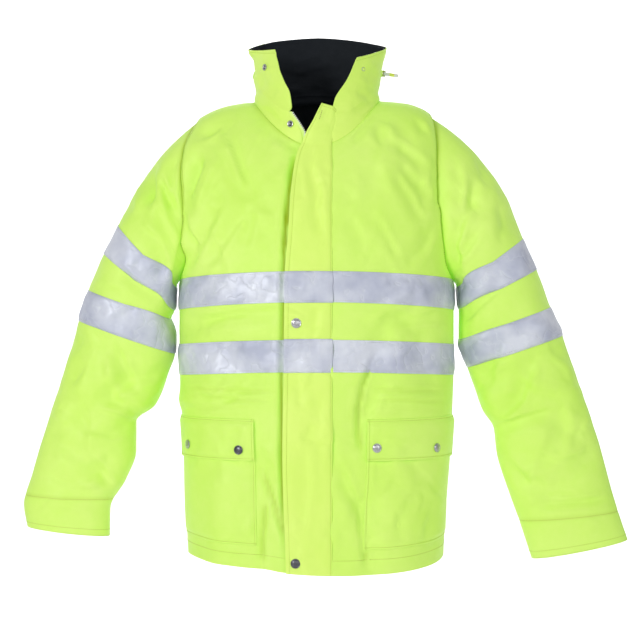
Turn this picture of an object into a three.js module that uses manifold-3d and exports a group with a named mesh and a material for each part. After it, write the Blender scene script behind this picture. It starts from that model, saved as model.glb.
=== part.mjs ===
// Hi-vis work jacket, filled out with no wearer, in millimetres, +Z up.
// The front faces -Y and +X is the wearer's left. The origin is the middle of
// the neck opening, at the height where the collar meets the shoulder seams.
import * as THREE from 'three';
import { mergeVertices } from 'three/addons/utils/BufferGeometryUtils.js';
import Module from 'manifold-3d';

const wasm = await Module();
wasm.setup();

// Cloth and gaps
const clothWall = 2.5;
const collarWall = 3;
const liningWall = 1.2;
const pocketWall = 2;
const tapeWall = 1;
const zipWall = 3;
const zipProud = 0.4;
const seamGap = 0.3;
const layGap = 0.35;

// Heights, measured down the centre front
const hemHeight = -779;
const neckHeight = -87;
const armholeMiddle = -207;
const armholeHalf = 78;
const armholeSpread = 30;
const armholeCentre = { x: 222, y: 2, z: -170 };
const lowerTape = [-454, -402];
const upperTape = [-342, -292];
const pocketBottom = -740;
const pocketTop = -545;
const pocketFlapBottom = -597;
const pocketFlapTop = -530;

// Places across the front
const zipX = -16;
const zipHalf = 5.5;
const flapSeamX = 26;
const flapSeamLine = flapSeamX + 0.6;
const flapLift = 4.8;
const pocketAngleRight = 25.4;
const pocketAngleLeft = 20.5;
const pocketPuff = 3.5;

// Counts
const armholeSteps = 10;
const sideCells = 7;
const backCells = 18;
const snapSides = 12;

const degree = Math.PI / 180;
const vec = (x, y, z) => new THREE.Vector3(x, y, z);
const mix = (a, b, t) => a + (b - a) * t;
const spread = (a, b, cells) => Array.from({ length: cells + 1 }, (_, i) => mix(a, b, i / cells));
const rowsOf = (names, ...rows) => rows.map(
  (row) => Object.fromEntries(names.map((name, i) => [name, row[i]])));

// Body rings from hem to neck: centre-front, side-seam and centre-back height,
// half widths, depths before and behind the side seams, fullness, the front's
// slant down to the left, and how much higher the left side lies
const bodyRings = rowsOf(
  ['front', 'side', 'back', 'right', 'left', 'depthFront', 'depthBack', 'full', 'slant', 'leftUp'],
  [-779, -760, -770, 216, 214, 148, 130, 0.06, 0.055, 0],
  [-690, -680, -685, 220, 217, 150, 130, 0.06, 0.02, 0],
  [-592, -590, -592, 222, 224, 151, 128, 0.06, 0, 0],
  [-535, -532, -534, 225, 228, 151, 126, 0.06, 0, 0],
  [-454, -462, -458, 230, 231, 150, 128, 0.06, 0, 0],
  [-402, -411, -406, 231, 231, 150, 133, 0.06, 0, 0],
  [-342, -354, -344, 231, 231, 150, 140, 0.06, 0, 0],
  [-292, -303, -290, 229, 229, 148, 144, 0.06, 0, 0],
  [-276, -278, -268, 228, 225, 147, 145, 0.06, 0, 0],
  [-250, -240, -235, 239, 228, 145, 146, 0.06, 0, 0],
  [-205, -160, -160, 250, 227, 139, 146, 0.06, 0, 2],
  [-165, -90, -90, 240, 217, 131, 138, 0.05, 0, 5],
  [-130, -38, -45, 206, 198, 121, 122, 0.04, 0, 8],
  [-107, -12, -10, 158, 158, 113, 104, 0.02, 0, 5],
  [-87, -2, 18, 106, 106, 106, 85, 0, 0, 1],
);

// Largest folds of the body: a soft trough (a ridge where negative) along a line
const bodyFolds = rowsOf(
  ['face', 'x1', 'z1', 'x2', 'z2', 'width', 'depth'],
  ['front', -154, -60, -112, -160, 20, 6],
  ['front', -196, -110, -214, -182, 16, 5],
  ['front', 150, -70, 178, -170, 22, 4],
  ['front', -86, -610, -88, -770, 20, 7],
  ['front', -150, -640, -160, -770, 26, -6],
  ['front', 82, -670, 88, -765, 22, 6],
  ['front', 105, -400, 68, -560, 20, 6],
  ['front', 150, -380, 190, -470, 26, 5],
  ['front', -190, -380, -110, -460, 26, 5],
  ['front', -175, -480, -215, -505, 22, -5],
  ['back', -150, -110, -110, -230, 26, 6],
  ['back', 150, -105, 115, -235, 26, 6],
  ['back', -60, -440, -90, -760, 34, 7],
  ['back', 70, -470, 95, -765, 34, 8],
  ['back', -170, -360, -60, -430, 28, 5],
  ['back', 180, -380, 60, -450, 28, 5],
);

// Sleeve rings from under the arm tape to the cuff: outer and inner points,
// half depth, middle in Y, squareness, and the tuck towards the body in front
const sleeveNames = ['outerX', 'outerZ', 'innerX', 'innerZ', 'halfDepth', 'middleY', 'square', 'tuck'];
const sleeveRings = {
  right: rowsOf(sleeveNames,
    [-333, -214, -237, -312, 79, 0, 2.3, 22],
    [-357, -258, -240, -354, 78, 0, 2.3, 12],
    [-384, -320, -245, -369, 74, -1, 2.3, 8],
    [-392, -345, -238, -396, 73, -1, 2.3, 3],
    [-400, -371, -239, -427, 71, -2, 2.3, 0],
    [-418, -436, -249, -458, 67, -4, 2.2, 0],
    [-437, -496, -271, -513, 63, -6, 2.2, 0],
    [-450, -536, -303, -542, 58, -8, 2.1, 0],
    [-463, -578, -303, -590, 57, -10, 2.1, 0],
    [-477, -628, -320, -638, 53, -12, 2.1, 0],
    [-491, -678, -346, -686, 45, -14, 2.1, 0],
    [-485, -716, -347, -732, 40, -15, 2.1, 0]),
  left: rowsOf(sleeveNames,
    [348, -238, 237, -312, 79, 0, 2.3, 16],
    [370, -285, 240, -352, 78, 0, 2.3, 8],
    [394, -348, 240, -403, 74, -1, 2.3, 4],
    [404, -372, 246, -426, 72, -1, 2.3, 0],
    [414, -396, 254, -449, 70, -2, 2.3, 0],
    [431, -446, 267, -486, 66, -4, 2.2, 0],
    [449, -499, 280, -523, 62, -6, 2.2, 0],
    [463, -539, 298, -552, 58, -8, 2.1, 0],
    [475, -577, 303, -594, 56, -10, 2.1, 0],
    [497, -660, 326, -667, 50, -12, 2.1, 0],
    [506, -690, 340, -706, 46, -14, 2.1, 0],
    [522, -738, 361, -770, 41, -15, 2.1, 0]),
};
const capSteps = [0.3, 0.56, 0.8];
const capBulge = { right: 12, left: 20 };

const sleeveFolds = {
  right: rowsOf(['face', 'x1', 'z1', 'x2', 'z2', 'width', 'depth'],
    ['front', -280, -120, -284, -190, 15, 7],
    ['front', -270, -150, -235, -200, 14, 4],
    ['front', -400, -400, -300, -440, 20, 5],
    ['front', -300, -470, -400, -540, 20, 6],
    ['front', -440, -560, -360, -620, 18, 5],
    ['back', -300, -130, -290, -220, 20, 6],
    ['back', -400, -420, -310, -480, 22, 6],
    ['back', -440, -550, -350, -600, 20, 5]),
  left: rowsOf(['face', 'x1', 'z1', 'x2', 'z2', 'width', 'depth'],
    ['front', 280, -110, 270, -190, 15, 6],
    ['front', 330, -200, 300, -290, 18, 4],
    ['front', 400, -420, 300, -470, 20, 6],
    ['front', 330, -500, 430, -560, 20, 6],
    ['front', 460, -600, 380, -660, 18, 5],
    ['back', 300, -130, 285, -220, 20, 6],
    ['back', 410, -430, 310, -500, 22, 6],
    ['back', 455, -570, 360, -630, 20, 5]),
};

// Collar: top edge by the turn round the neck from the right front, and the
// two front edges by height
const collarTop = rowsOf(['turn', 'x', 'y', 'z'],
  [12, -66.5, -75, 74],
  [50, -93, -40, 78],
  [90, -114, 0, 86],
  [135, -88, 58, 106],
  [180, 3, 90, 120],
  [225, 90, 58, 106],
  [270, 118, -5, 88],
  [320, 98, -48, 73],
  [366, 65, -80, 60]);
const collarEdgeRight = rowsOf(['z', 'x', 'y'],
  [-87, -16.2, -106], [-78, -16.2, -106], [-66, -18.5, -105.5], [-43, -29, -103],
  [-30, -38.5, -100], [-1, -40, -95], [20, -51, -90], [42, -60, -84], [74, -66.5, -75]);
const collarEdgeLeft = rowsOf(['z', 'x', 'y'],
  [-87, -15.8, -106], [-78, -15.8, -106], [-66, -12, -105.5], [-45, 8, -103],
  [-26, 25, -101], [-9, 29, -99.5], [23, 48, -90], [60, 65, -80]);
const collarShares = [0, 0.056, 0.13, 0.2, 0.348, 0.46, 0.58, 0.8, 1];
const zipTopShare = 0.348;
const hoodZipShares = [0.46, 0.58];
const hoodZipTurns = [84, 277];
const liningTurns = [24, 332];
const liningDrop = 0.12;
const frontReach = 0.22;
const collarWaist = 2.5;

// Storm flap: free edge by height down the centre front, then its top over the collar
const flapFreeEdge = rowsOf(['front', 'x'],
  [-779, -47.9], [-728, -49.3], [-589, -53.6], [-456, -51.6], [-300, -50], [-241, -45.3],
  [-175, -41.3], [-128, -35.7], [-104, -30], [-87, -22]);
const flapTopRows = rowsOf(['freeX', 'freeZ', 'seamX', 'seamZ', 'y'],
  [-16.8, -66, 26.5, -68, -113.2],
  [-7, -49, 27, -54, -112.4],
  [3.3, -29, 27, -36, -111.4],
  [9.1, -18, 27, -23, -110.6]);
const flapShares = [0, 0.3, 0.6, 0.82, 1];

// Monotone cubic through one column of a table
function columnAt(rows, key, column, at) {
  const last = rows.length - 1;
  if (at <= rows[0][key]) return rows[0][column];
  if (at >= rows[last][key]) return rows[last][column];
  const i = rows.findIndex((row) => row[key] > at) - 1;
  const slope = (k) => (rows[k + 1][column] - rows[k][column]) / (rows[k + 1][key] - rows[k][key]);
  const tangent = (k) => {
    if (k === 0) return slope(0);
    if (k === last) return slope(last - 1);
    const before = slope(k - 1);
    const after = slope(k);
    return before * after <= 0 ? 0 : (2 * before * after) / (before + after);
  };
  const width = rows[i + 1][key] - rows[i][key];
  const t = (at - rows[i][key]) / width;
  return rows[i][column] * (1 + 2 * t) * (1 - t) ** 2
    + width * tangent(i) * t * (1 - t) ** 2
    + rows[i + 1][column] * t * t * (3 - 2 * t)
    - width * tangent(i + 1) * t * t * (1 - t);
}

function rowAt(rows, key, at) {
  return Object.fromEntries(
    Object.keys(rows[0]).map((name) => [name, name === key ? at : columnAt(rows, key, name, at)]));
}

// Depth of the folds at a point, by its distance from each fold's line
function foldDepth(folds, at, middleY) {
  const face = at.y < middleY ? 'front' : 'back';
  const fade = Math.min(1, Math.abs(at.y - middleY) / 40);
  return folds.filter((fold) => fold.face === face).reduce((sum, fold) => {
    const start = new THREE.Vector2(fold.x1, fold.z1);
    const run = new THREE.Vector2(fold.x2, fold.z2).sub(start);
    const from = new THREE.Vector2(at.x, at.z).sub(start);
    const along = THREE.MathUtils.clamp(from.dot(run) / run.lengthSq(), 0, 1);
    const away = from.sub(run.multiplyScalar(along)).length();
    return sum + fade * fold.depth * Math.exp(-((away / fold.width) ** 2));
  }, 0);
}

// Body surface. The angle is 0 at the centre front, 90 at the wearer's left side
// seam, 180 at the centre back and -90 at the right side seam.
function plainBody(angle, front) {
  const ring = rowAt(bodyRings, 'front', front);
  const across = Math.sin(angle * degree);
  const ahead = Math.cos(angle * degree);
  const full = 1 + ring.full * Math.sin(2 * angle * degree) ** 2;
  const half = across < 0 ? ring.right : ring.left;
  const depth = ahead > 0 ? ring.depthFront : ring.depthBack;
  const middle = ahead > 0 ? ring.front : ring.back;
  const side = ring.side + (across < 0 ? 0 : ring.leftUp);
  const slant = ring.slant * half * across * Math.max(0, ahead);
  return vec(half * across * full, -depth * ahead * full, mix(side, middle, ahead ** 2) - slant);
}

function bodyNormal(angle, front) {
  const low = Math.max(front - 3, hemHeight);
  const high = Math.min(front + 3, neckHeight);
  const up = plainBody(angle, high).sub(plainBody(angle, low));
  const round = plainBody(angle + 0.5, front).sub(plainBody(angle - 0.5, front));
  return round.cross(up).normalize();
}

function bodySpot(angle, front) {
  const at = plainBody(angle, front);
  const dir = bodyNormal(angle, front);
  return { at: at.addScaledVector(dir, -foldDepth(bodyFolds, at, 0)), dir };
}

// Angle whose point lies at a given X on the front
function angleAt(x, front) {
  const ring = rowAt(bodyRings, 'front', front);
  const half = x < 0 ? ring.right : ring.left;
  let angle = 0;
  for (let pass = 0; pass < 8; pass += 1) {
    angle = Math.asin(x / half / (1 + ring.full * Math.sin(2 * angle) ** 2));
  }
  return angle / degree;
}

// Armhole: an oval in angle and height, fuller towards the underarm. The turn is
// 0 at the shoulder point, 90 at the back and 180 under the arm.
function armholeOpen(turn) {
  const side = Math.abs(Math.sin(turn * degree));
  const power = Math.cos(turn * degree) < 0 ? 0.65 : 1;
  return armholeSpread * side ** power;
}
const armholeFront = (turn) => armholeMiddle + armholeHalf * Math.cos(turn * degree);
const armholeTurns = spread(180, 0, armholeSteps);

function armholeSpot(sign, turn) {
  const away = armholeOpen(turn) * (turn > 180 ? -1 : 1);
  const angle = sign * (90 + away);
  const { at } = bodySpot(angle, armholeFront(turn));
  const centre = vec(sign * armholeCentre.x, armholeCentre.y, armholeCentre.z);
  const radial = at.clone().sub(centre).setX(0).normalize();
  const lean = mix(0.15, 1, (1 - Math.cos(turn * degree)) / 2);
  return { at, dir: radial.add(vec(sign * lean, 0, 0)).normalize() };
}

function neckNormal(at) {
  return vec(at.x, at.y, 0).normalize().add(vec(0, 0, 0.7)).normalize();
}

// Moves a spot across its wall, so that the rims at a seam stay parallel
function shifted(spot, toward, distance) {
  const slide = toward.clone().addScaledVector(spot.dir, -toward.dot(spot.dir)).normalize();
  return { at: spot.at.clone().addScaledVector(slide, distance), dir: spot.dir };
}

// Rows of the body panels: hem to underarm, the armhole's steps, then the shoulder
const panelRows = [
  hemHeight, pocketBottom, -690, -645, pocketFlapBottom, -570, pocketTop, pocketFlapTop, -492,
  lowerTape[0], -428, lowerTape[1], -372, upperTape[0], -317, upperTape[1],
  ...armholeTurns.map(armholeFront), -118, -107, -97, neckHeight,
];
const rowOf = (front) => panelRows.indexOf(front);

function sideAngle(front, behind) {
  const cosine = (front - armholeMiddle) / armholeHalf;
  const inside = Math.abs(cosine) < 0.999;
  const open = inside ? armholeOpen(Math.acos(cosine) / degree) : 0;
  return behind ? 90 + open : 90 - open;
}

function frontAngles(side, front) {
  const sign = side === 'right' ? -1 : 1;
  const edge = side === 'right' ? zipX - zipHalf - seamGap : zipX + zipHalf + seamGap;
  const flapX = Math.min(columnAt(flapFreeEdge, 'front', 'x', front), edge - 6);
  const inner = side === 'right' ? [flapX] : [(edge + flapSeamLine) / 2, flapSeamLine];
  const pocket = sign * (side === 'right' ? pocketAngleRight : pocketAngleLeft);
  const lines = [edge, ...inner].map((x) => angleAt(x, front));
  return [
    ...lines, mix(lines[lines.length - 1], pocket, 0.5),
    ...spread(pocket, sign * sideAngle(front, false), sideCells),
  ];
}

const backAngles = (front) => spread(sideAngle(front, true), 360 - sideAngle(front, true), backCells);

// A body panel: its seam edges take the directions that they share with the
// pieces sewn there, and draw back by half a gap
function bodyPanel(anglesAt) {
  return panelRows.map((front, row) => anglesAt(front).map((angle, column, all) => {
    let spot = bodySpot(angle, front);
    const sign = Math.sin(angle * degree) < 0 ? -1 : 1;
    const behind = Math.cos(angle * degree) < 0;
    const atSide = column === all.length - 1 || (column === 0 && behind);
    const cosine = (front - armholeMiddle) / armholeHalf;
    if (atSide && Math.abs(cosine) < 1.001) {
      const turn = Math.acos(THREE.MathUtils.clamp(cosine, -1, 1)) / degree;
      spot = armholeSpot(sign, behind ? turn : 360 - turn);
    }
    if (row === panelRows.length - 1) spot.dir = neckNormal(spot.at);
    if (!atSide) return spot;
    return shifted(spot, vec(0, behind ? 1 : -1, 0), seamGap / 2);
  }));
}

const frontRight = bodyPanel((front) => frontAngles('right', front));
const frontLeft = bodyPanel((front) => frontAngles('left', front));
const backPanel = bodyPanel(backAngles);

// Directions out of a grid's surface, from its neighbours
function withNormals(grid, outward, round = false) {
  const rows = grid.length;
  const columns = grid[0].length;
  const columnNear = (j) => (round ? (j + columns) % columns : THREE.MathUtils.clamp(j, 0, columns - 1));
  return grid.map((line, i) => line.map((spot, j) => {
    if (spot.dir) return spot;
    const along = line[columnNear(j + 1)].at.clone().sub(line[columnNear(j - 1)].at);
    const up = grid[Math.min(i + 1, rows - 1)][j].at.clone().sub(grid[Math.max(i - 1, 0)][j].at);
    const dir = along.cross(up).normalize();
    if (dir.dot(outward(spot.at, i)) < 0) dir.negate();
    return { at: spot.at, dir };
  }));
}

// Closed wall on a grid of spots, between two distances along their directions
function shell(grid, outer, inner, round = false) {
  const rows = grid.length;
  const columns = grid[0].length;
  const points = [outer, inner].flatMap((distance) => grid.flat().map(
    (spot) => spot.at.clone().addScaledVector(spot.dir, distance)));
  const faces = [];
  const quad = (a, b, c, d) => faces.push(a, b, c, a, c, d);
  const at = (layer, i, j) => layer * rows * columns + i * columns + (j % columns);
  const cells = round ? columns : columns - 1;
  for (let i = 0; i < rows - 1; i += 1) {
    for (let j = 0; j < cells; j += 1) {
      quad(at(0, i, j), at(0, i, j + 1), at(0, i + 1, j + 1), at(0, i + 1, j));
      quad(at(1, i, j), at(1, i + 1, j), at(1, i + 1, j + 1), at(1, i, j + 1));
    }
    if (!round) {
      const last = columns - 1;
      quad(at(0, i, 0), at(0, i + 1, 0), at(1, i + 1, 0), at(1, i, 0));
      quad(at(0, i, last), at(1, i, last), at(1, i + 1, last), at(0, i + 1, last));
    }
  }
  for (let j = 0; j < cells; j += 1) {
    const top = rows - 1;
    quad(at(0, 0, j), at(1, 0, j), at(1, 0, j + 1), at(0, 0, j + 1));
    quad(at(0, top, j), at(0, top, j + 1), at(1, top, j + 1), at(1, top, j));
  }
  return closed(points, faces);
}

// Geometry with its faces turned out, whichever way the grid runs
function closed(points, faces) {
  let volume = 0;
  for (let k = 0; k < faces.length; k += 3) {
    const [a, b, c] = [points[faces[k]], points[faces[k + 1]], points[faces[k + 2]]];
    volume += a.dot(b.clone().cross(c));
  }
  const index = volume > 0 ? faces : faces.slice().reverse();
  const geometry = new THREE.BufferGeometry().setFromPoints(points);
  geometry.setIndex(index);
  geometry.computeVertexNormals();
  return geometry;
}

const part = (grid, rows, columns) => grid.slice(rows[0], rows[1] + 1).map(
  (line) => line.slice(columns[0], columns[1] + 1));
const raised = (grid, height) => grid.map((line, i) => line.map((spot, j) => ({
  at: spot.at.clone().addScaledVector(spot.dir, height(i, j)), dir: spot.dir,
})));

// Sleeves: from the armhole through the shoulder cap to the tape, then the table
function sleeveSection(ring, sign, turn) {
  const power = 2 / ring.square;
  const cosine = Math.cos(turn * degree);
  const sine = Math.sin(turn * degree);
  const across = Math.sign(cosine) * Math.abs(cosine) ** power;
  const ahead = Math.sign(sine) * Math.abs(sine) ** power;
  const tuck = 3.86 * ring.tuck * Math.max(0, -sine) ** 5 * Math.max(0, -cosine);
  return vec(
    mix(ring.innerX, ring.outerX, (1 + across) / 2) - sign * tuck,
    ring.middleY + ring.halfDepth * ahead,
    mix(ring.innerZ, ring.outerZ, (1 + across) / 2));
}

function sleeveGrid(side) {
  const sign = side === 'right' ? -1 : 1;
  const rings = sleeveRings[side];
  const turns = spread(0, 360, armholeSteps * 2).slice(0, -1);
  const seam = turns.map((turn) => shifted(armholeSpot(sign, turn), vec(sign, 0, 0), seamGap));
  const cap = capSteps.map((share) => turns.map((turn, k) => {
    const at = seam[k].at.clone().lerp(sleeveSection(rings[0], sign, turn), share);
    const radial = vec(sign * Math.max(0, Math.cos(turn * degree)), Math.sin(turn * degree), 0);
    radial.z = 0.8 * Math.max(0, Math.cos(turn * degree));
    const swell = capBulge[side] * (1 + Math.cos(turn * degree)) / 2 * 4 * share * (1 - share);
    return { at: at.addScaledVector(radial, swell) };
  }));
  const table = rings.map((ring) => turns.map((turn) => ({ at: sleeveSection(ring, sign, turn) })));
  const plain = [seam, ...cap, ...table];
  const middle = plain.map((line) => line.reduce((sum, spot) => sum.add(spot.at), vec(0, 0, 0))
    .divideScalar(turns.length));
  const grid = withNormals(plain, (at, i) => at.clone().sub(middle[i]), true);
  return grid.map((line, i) => (i === 0 ? line : line.map((spot) => ({
    at: spot.at.clone().addScaledVector(spot.dir, -foldDepth(sleeveFolds[side], spot.at, middle[i].y)),
    dir: spot.dir,
  }))));
}

const sleeves = { right: sleeveGrid('right'), left: sleeveGrid('left') };
const firstTapeRing = 1 + capSteps.length;

// Collar: from the neck seam up to its top edge, drawn to its front edges
function collarSeam() {
  const angles = [
    ...frontAngles('right', neckHeight).map((angle) => -angle),
    ...backAngles(neckHeight).slice(1, -1),
    ...frontAngles('left', neckHeight).reverse().map((angle) => 360 - angle),
  ];
  return angles.map((turn) => {
    const { at } = bodySpot(-turn, neckHeight);
    return { turn, ...shifted({ at, dir: neckNormal(at) }, vec(0, 0, 1), seamGap) };
  });
}

function collarEdge(rows, share, inward) {
  const z = mix(neckHeight, rows[rows.length - 1].z, share);
  const inset = share <= zipTopShare ? zipHalf + seamGap : 0;
  return vec(columnAt(rows, 'z', 'x', z) + inward * inset, columnAt(rows, 'z', 'y', z), z);
}

function collarGrid() {
  const seam = collarSeam();
  const last = seam.length - 1;
  const topAt = (turn) => {
    const row = rowAt(collarTop, 'turn', turn);
    return vec(row.x, row.y, row.z);
  };
  const ruled = (k, share) => seam[k].at.clone().lerp(topAt(seam[k].turn), share);
  const grid = collarShares.map((share, i) => seam.map((spot, k) => {
    if (i === 0) return spot;
    const at = ruled(k, share);
    const right = collarEdge(collarEdgeRight, share, -1).sub(ruled(0, share));
    const left = collarEdge(collarEdgeLeft, share, 1).sub(ruled(last, share));
    const along = (spot.turn - seam[0].turn) / (seam[last].turn - seam[0].turn);
    at.addScaledVector(right, Math.max(0, 1 - along / frontReach) ** 2);
    at.addScaledVector(left, Math.max(0, 1 - (1 - along) / frontReach) ** 2);
    const radial = vec(at.x, at.y, 0).normalize();
    const waist = collarWaist * Math.sin(Math.PI * share) * Math.min(1, 4 * along * (1 - along) * 1.5);
    return { at: at.addScaledVector(radial, -waist) };
  }));
  return withNormals(grid, (at) => vec(at.x, at.y + 10, 0));
}

const collar = collarGrid();
const collarColumns = collar[0].length;
const turnColumn = (turn) => collarSeam().findIndex((spot) => spot.turn >= turn - 0.01);

// Zip strips: along the front edges, then up the collar's edges to the zip's top
function zipStrip(side) {
  const sign = side === 'right' ? -1 : 1;
  const meeting = (dir, k) => (k === 0 ? vec(0, dir.y, dir.z).normalize() : dir);
  const body = panelRows.map((front) => [0, 1].map((k) => {
    const x = zipX + sign * (seamGap / 2 + k * (zipHalf - seamGap / 2));
    const spot = bodySpot(angleAt(x, front), front);
    const dir = front === neckHeight ? neckNormal(spot.at) : spot.dir;
    return { at: spot.at, dir: meeting(dir, k) };
  }));
  const column = side === 'right' ? 0 : collarColumns - 1;
  const above = collarShares.map((share, i) => ({ share, i }))
    .filter(({ share }) => share > 0 && share <= zipTopShare)
    .map(({ i }) => {
      const edge = collar[i][column];
      return [zipHalf + seamGap - 0.1, seamGap].map((inset, k) => ({
        at: edge.at.clone().add(vec(-sign * inset, 0, 0)), dir: meeting(edge.dir, k),
      }));
    });
  return [...body, ...above];
}

// Storm flap: moved out from the fronts, then its own top over the collar
function flapGrid() {
  const lift = (share) => layGap + flapLift * share + clothWall;
  const body = panelRows.map((front) => {
    const freeX = columnAt(flapFreeEdge, 'front', 'x', front);
    return flapShares.map((share) => {
      const spot = bodySpot(angleAt(mix(flapSeamX, freeX, share), front), front);
      return { at: spot.at.addScaledVector(spot.dir, lift(share)), dir: spot.dir };
    });
  });
  const top = flapTopRows.map((row) => flapShares.map((share) => ({
    at: vec(mix(row.seamX, row.freeX, share), row.y + 1.5 * (1 - share), mix(row.seamZ, row.freeZ, share)),
    dir: vec(0, -1, 0),
  })));
  return [...body, ...top];
}

const stormFlap = flapGrid();

// Patch pockets and their flaps, on the fronts' own points
function pocketGrids(front, firstColumn) {
  const lastColumn = firstColumn + sideCells - 1;
  const bagRows = [rowOf(pocketBottom), rowOf(pocketTop)];
  const flapRows = [rowOf(pocketFlapBottom), rowOf(pocketFlapTop)];
  const puff = (row, j) => {
    const up = (row - bagRows[0]) / (bagRows[1] - bagRows[0]);
    return pocketPuff * Math.sin(Math.PI * THREE.MathUtils.clamp(up, 0, 1)) * Math.sin((Math.PI * j) / (sideCells - 1));
  };
  const bagLift = (row, j) => layGap + pocketWall + puff(row, j);
  const bag = raised(part(front, bagRows, [firstColumn, lastColumn]), (i, j) => bagLift(i + bagRows[0], j));
  const flap = raised(part(front, flapRows, [firstColumn, lastColumn]), (i, j) => {
    const row = i + flapRows[0];
    return row > bagRows[1] ? layGap + pocketWall : bagLift(row, j) + layGap + pocketWall;
  });
  return { bag, flap };
}

const pocketColumnRight = 3;
const pocketColumnLeft = 4;
const pocketsRight = pocketGrids(frontRight, pocketColumnRight);
const pocketsLeft = pocketGrids(frontLeft, pocketColumnLeft);

// Joined and cut solids
function solidOf(geometry) {
  const plain = new THREE.BufferGeometry();
  plain.setAttribute('position', geometry.getAttribute('position'));
  plain.setIndex(geometry.getIndex());
  const merged = mergeVertices(plain, 1e-4);
  const mesh = new wasm.Mesh({
    numProp: 3,
    vertProperties: new Float32Array(merged.getAttribute('position').array),
    triVerts: new Uint32Array(merged.getIndex().array),
  });
  return new wasm.Manifold(mesh);
}

function joined(geometries) {
  const mesh = geometries.map(solidOf).reduce((all, next) => all.add(next)).getMesh();
  const geometry = new THREE.BufferGeometry();
  geometry.setAttribute('position', new THREE.BufferAttribute(new Float32Array(mesh.vertProperties), 3));
  geometry.setIndex(Array.from(mesh.triVerts));
  geometry.computeVertexNormals();
  return geometry;
}

const block = (sizeX, sizeY, sizeZ, x, y, z) => new THREE.BoxGeometry(sizeX, sizeY, sizeZ).translate(x, y, z);

// Front zip's slider: two plates joined by a neck between the parting strips
const sliderTop = -66.5;
const sliderLong = 15.5;
const sliderWide = 8;
const sliderPlate = { front: 2, back: 1.4, backDrop: 1.5 };
const sliderNeck = { wide: 2.2, tall: 3.4, aside: 0.9 };
const zipFace = -106.4;
function zipSlider() {
  const plateZ = sliderTop - sliderLong / 2;
  const frontY = zipFace - seamGap - sliderPlate.front / 2;
  const backY = zipFace + zipWall + seamGap + sliderPlate.backDrop;
  const neckZ = sliderTop - sliderNeck.tall / 2;
  return joined([
    block(sliderWide, sliderPlate.front, sliderLong, zipX, frontY, plateZ),
    block(sliderWide, sliderPlate.back, sliderLong, zipX, backY, plateZ),
    block(sliderNeck.wide, backY - frontY, sliderNeck.tall, zipX + sliderNeck.aside, (frontY + backY) / 2, neckZ),
  ]);
}

// Hood zip's slider: a plate on the collar with two lugs and an upright pin
const hoodPin = { radius: 0.9, out: 4.2, height: 8.4 };
const hoodPlate = { thick: 1.6, wide: 11, tall: 9.9 };
const hoodLug = { deep: 5.4, wide: 4.4, thick: 1.5, z: 4.2 };
const hoodPull = { knuckle: 2.4, hole: 1.25, long: 24, thick: 2.4, tall: 5.6 };
function hoodSlider() {
  const lug = (z) => block(hoodLug.deep, hoodLug.wide, hoodLug.thick, hoodPin.out - 1.5, 0, z);
  const pin = new THREE.CylinderGeometry(hoodPin.radius, hoodPin.radius, hoodPin.height, 10)
    .rotateX(Math.PI / 2).translate(hoodPin.out, 0, 0);
  const plate = block(hoodPlate.thick, hoodPlate.wide, hoodPlate.tall, hoodPlate.thick / 2, 0, 0);
  return joined([plate, lug(hoodLug.z), lug(-hoodLug.z), pin]);
}

function hoodPullShape() {
  const { knuckle, hole, long, thick } = hoodPull;
  const start = Math.asin(thick / 2 / knuckle);
  const outline = new THREE.Shape();
  outline.absarc(0, 0, knuckle, start, 2 * Math.PI - start, false);
  outline.lineTo(long - thick / 2, -thick / 2);
  outline.absarc(long - thick / 2, 0, thick / 2, -Math.PI / 2, Math.PI / 2, false);
  outline.closePath();
  const eye = new THREE.Path();
  eye.absarc(0, 0, hole, 0, 2 * Math.PI, true);
  outline.holes.push(eye);
  return new THREE.ExtrudeGeometry(outline, { depth: hoodPull.tall, bevelEnabled: false, curveSegments: 8 })
    .translate(0, 0, -hoodPull.tall / 2);
}

// Snaps: a domed cap and an open ring stud, their flat backs at the origin facing +Y
const dome = (radius, height) => [
  [0, 0], [radius, 0], [radius, 0.3 * height], [0.82 * radius, 0.8 * height], [0.4 * radius, height], [0, height]];
const ringStud = (radius, height) => [
  [0, 0], [radius, 0], [radius, 0.7 * height], [0.75 * radius, 0.7 * height],
  [0.75 * radius, 0.3 * height], [0.35 * radius, 0.3 * height], [0.35 * radius, height], [0, height]];
const turned = (outline) => mergeVertices(stripped(
  new THREE.LatheGeometry(outline.map(([r, h]) => new THREE.Vector2(r, h)), snapSides)), 1e-4);

function stripped(geometry) {
  geometry.deleteAttribute('normal');
  geometry.deleteAttribute('uv');
  return geometry;
}

// Spot on a grid's cells nearest to a place seen from the front
function spotNear(grid, x, z) {
  let best = { away: Infinity };
  const steps = [0.15, 0.325, 0.5, 0.675, 0.85];
  for (let i = 0; i < grid.length - 1; i += 1) {
    for (let j = 0; j < grid[0].length - 1; j += 1) {
      for (const u of steps) {
        for (const v of steps) {
          const low = grid[i][j].at.clone().lerp(grid[i][j + 1].at, u);
          const at = low.lerp(grid[i + 1][j].at.clone().lerp(grid[i + 1][j + 1].at, u), v);
          const away = Math.hypot(at.x - x, at.z - z);
          if (away < best.away && grid[i][j].dir.y < 0.3) {
            const along = grid[i][j + 1].at.clone().sub(grid[i][j].at);
            const dir = along.cross(grid[i + 1][j].at.clone().sub(grid[i][j].at)).normalize();
            best = { away, at, dir: dir.dot(grid[i][j].dir) < 0 ? dir.negate() : dir };
          }
        }
      }
    }
  }
  return best;
}

// Materials
const paint = (color, roughness, metalness) => ({ color, roughness, metalness });
const hiVis = paint(0xcdf24a, 0.62, 0);
const hiVisTrim = paint(0xd6f561, 0.55, 0);
const reflective = paint(0xc3c6da, 0.35, 0.3);
const liningCloth = paint(0x141a24, 0.85, 0);
const plastic = paint(0xeef2dc, 0.4, 0);
const steel = paint(0x9a9ba2, 0.3, 0.9);
const darkSteel = paint(0x54565c, 0.35, 0.9);

const jacket = new THREE.Group();

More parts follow.
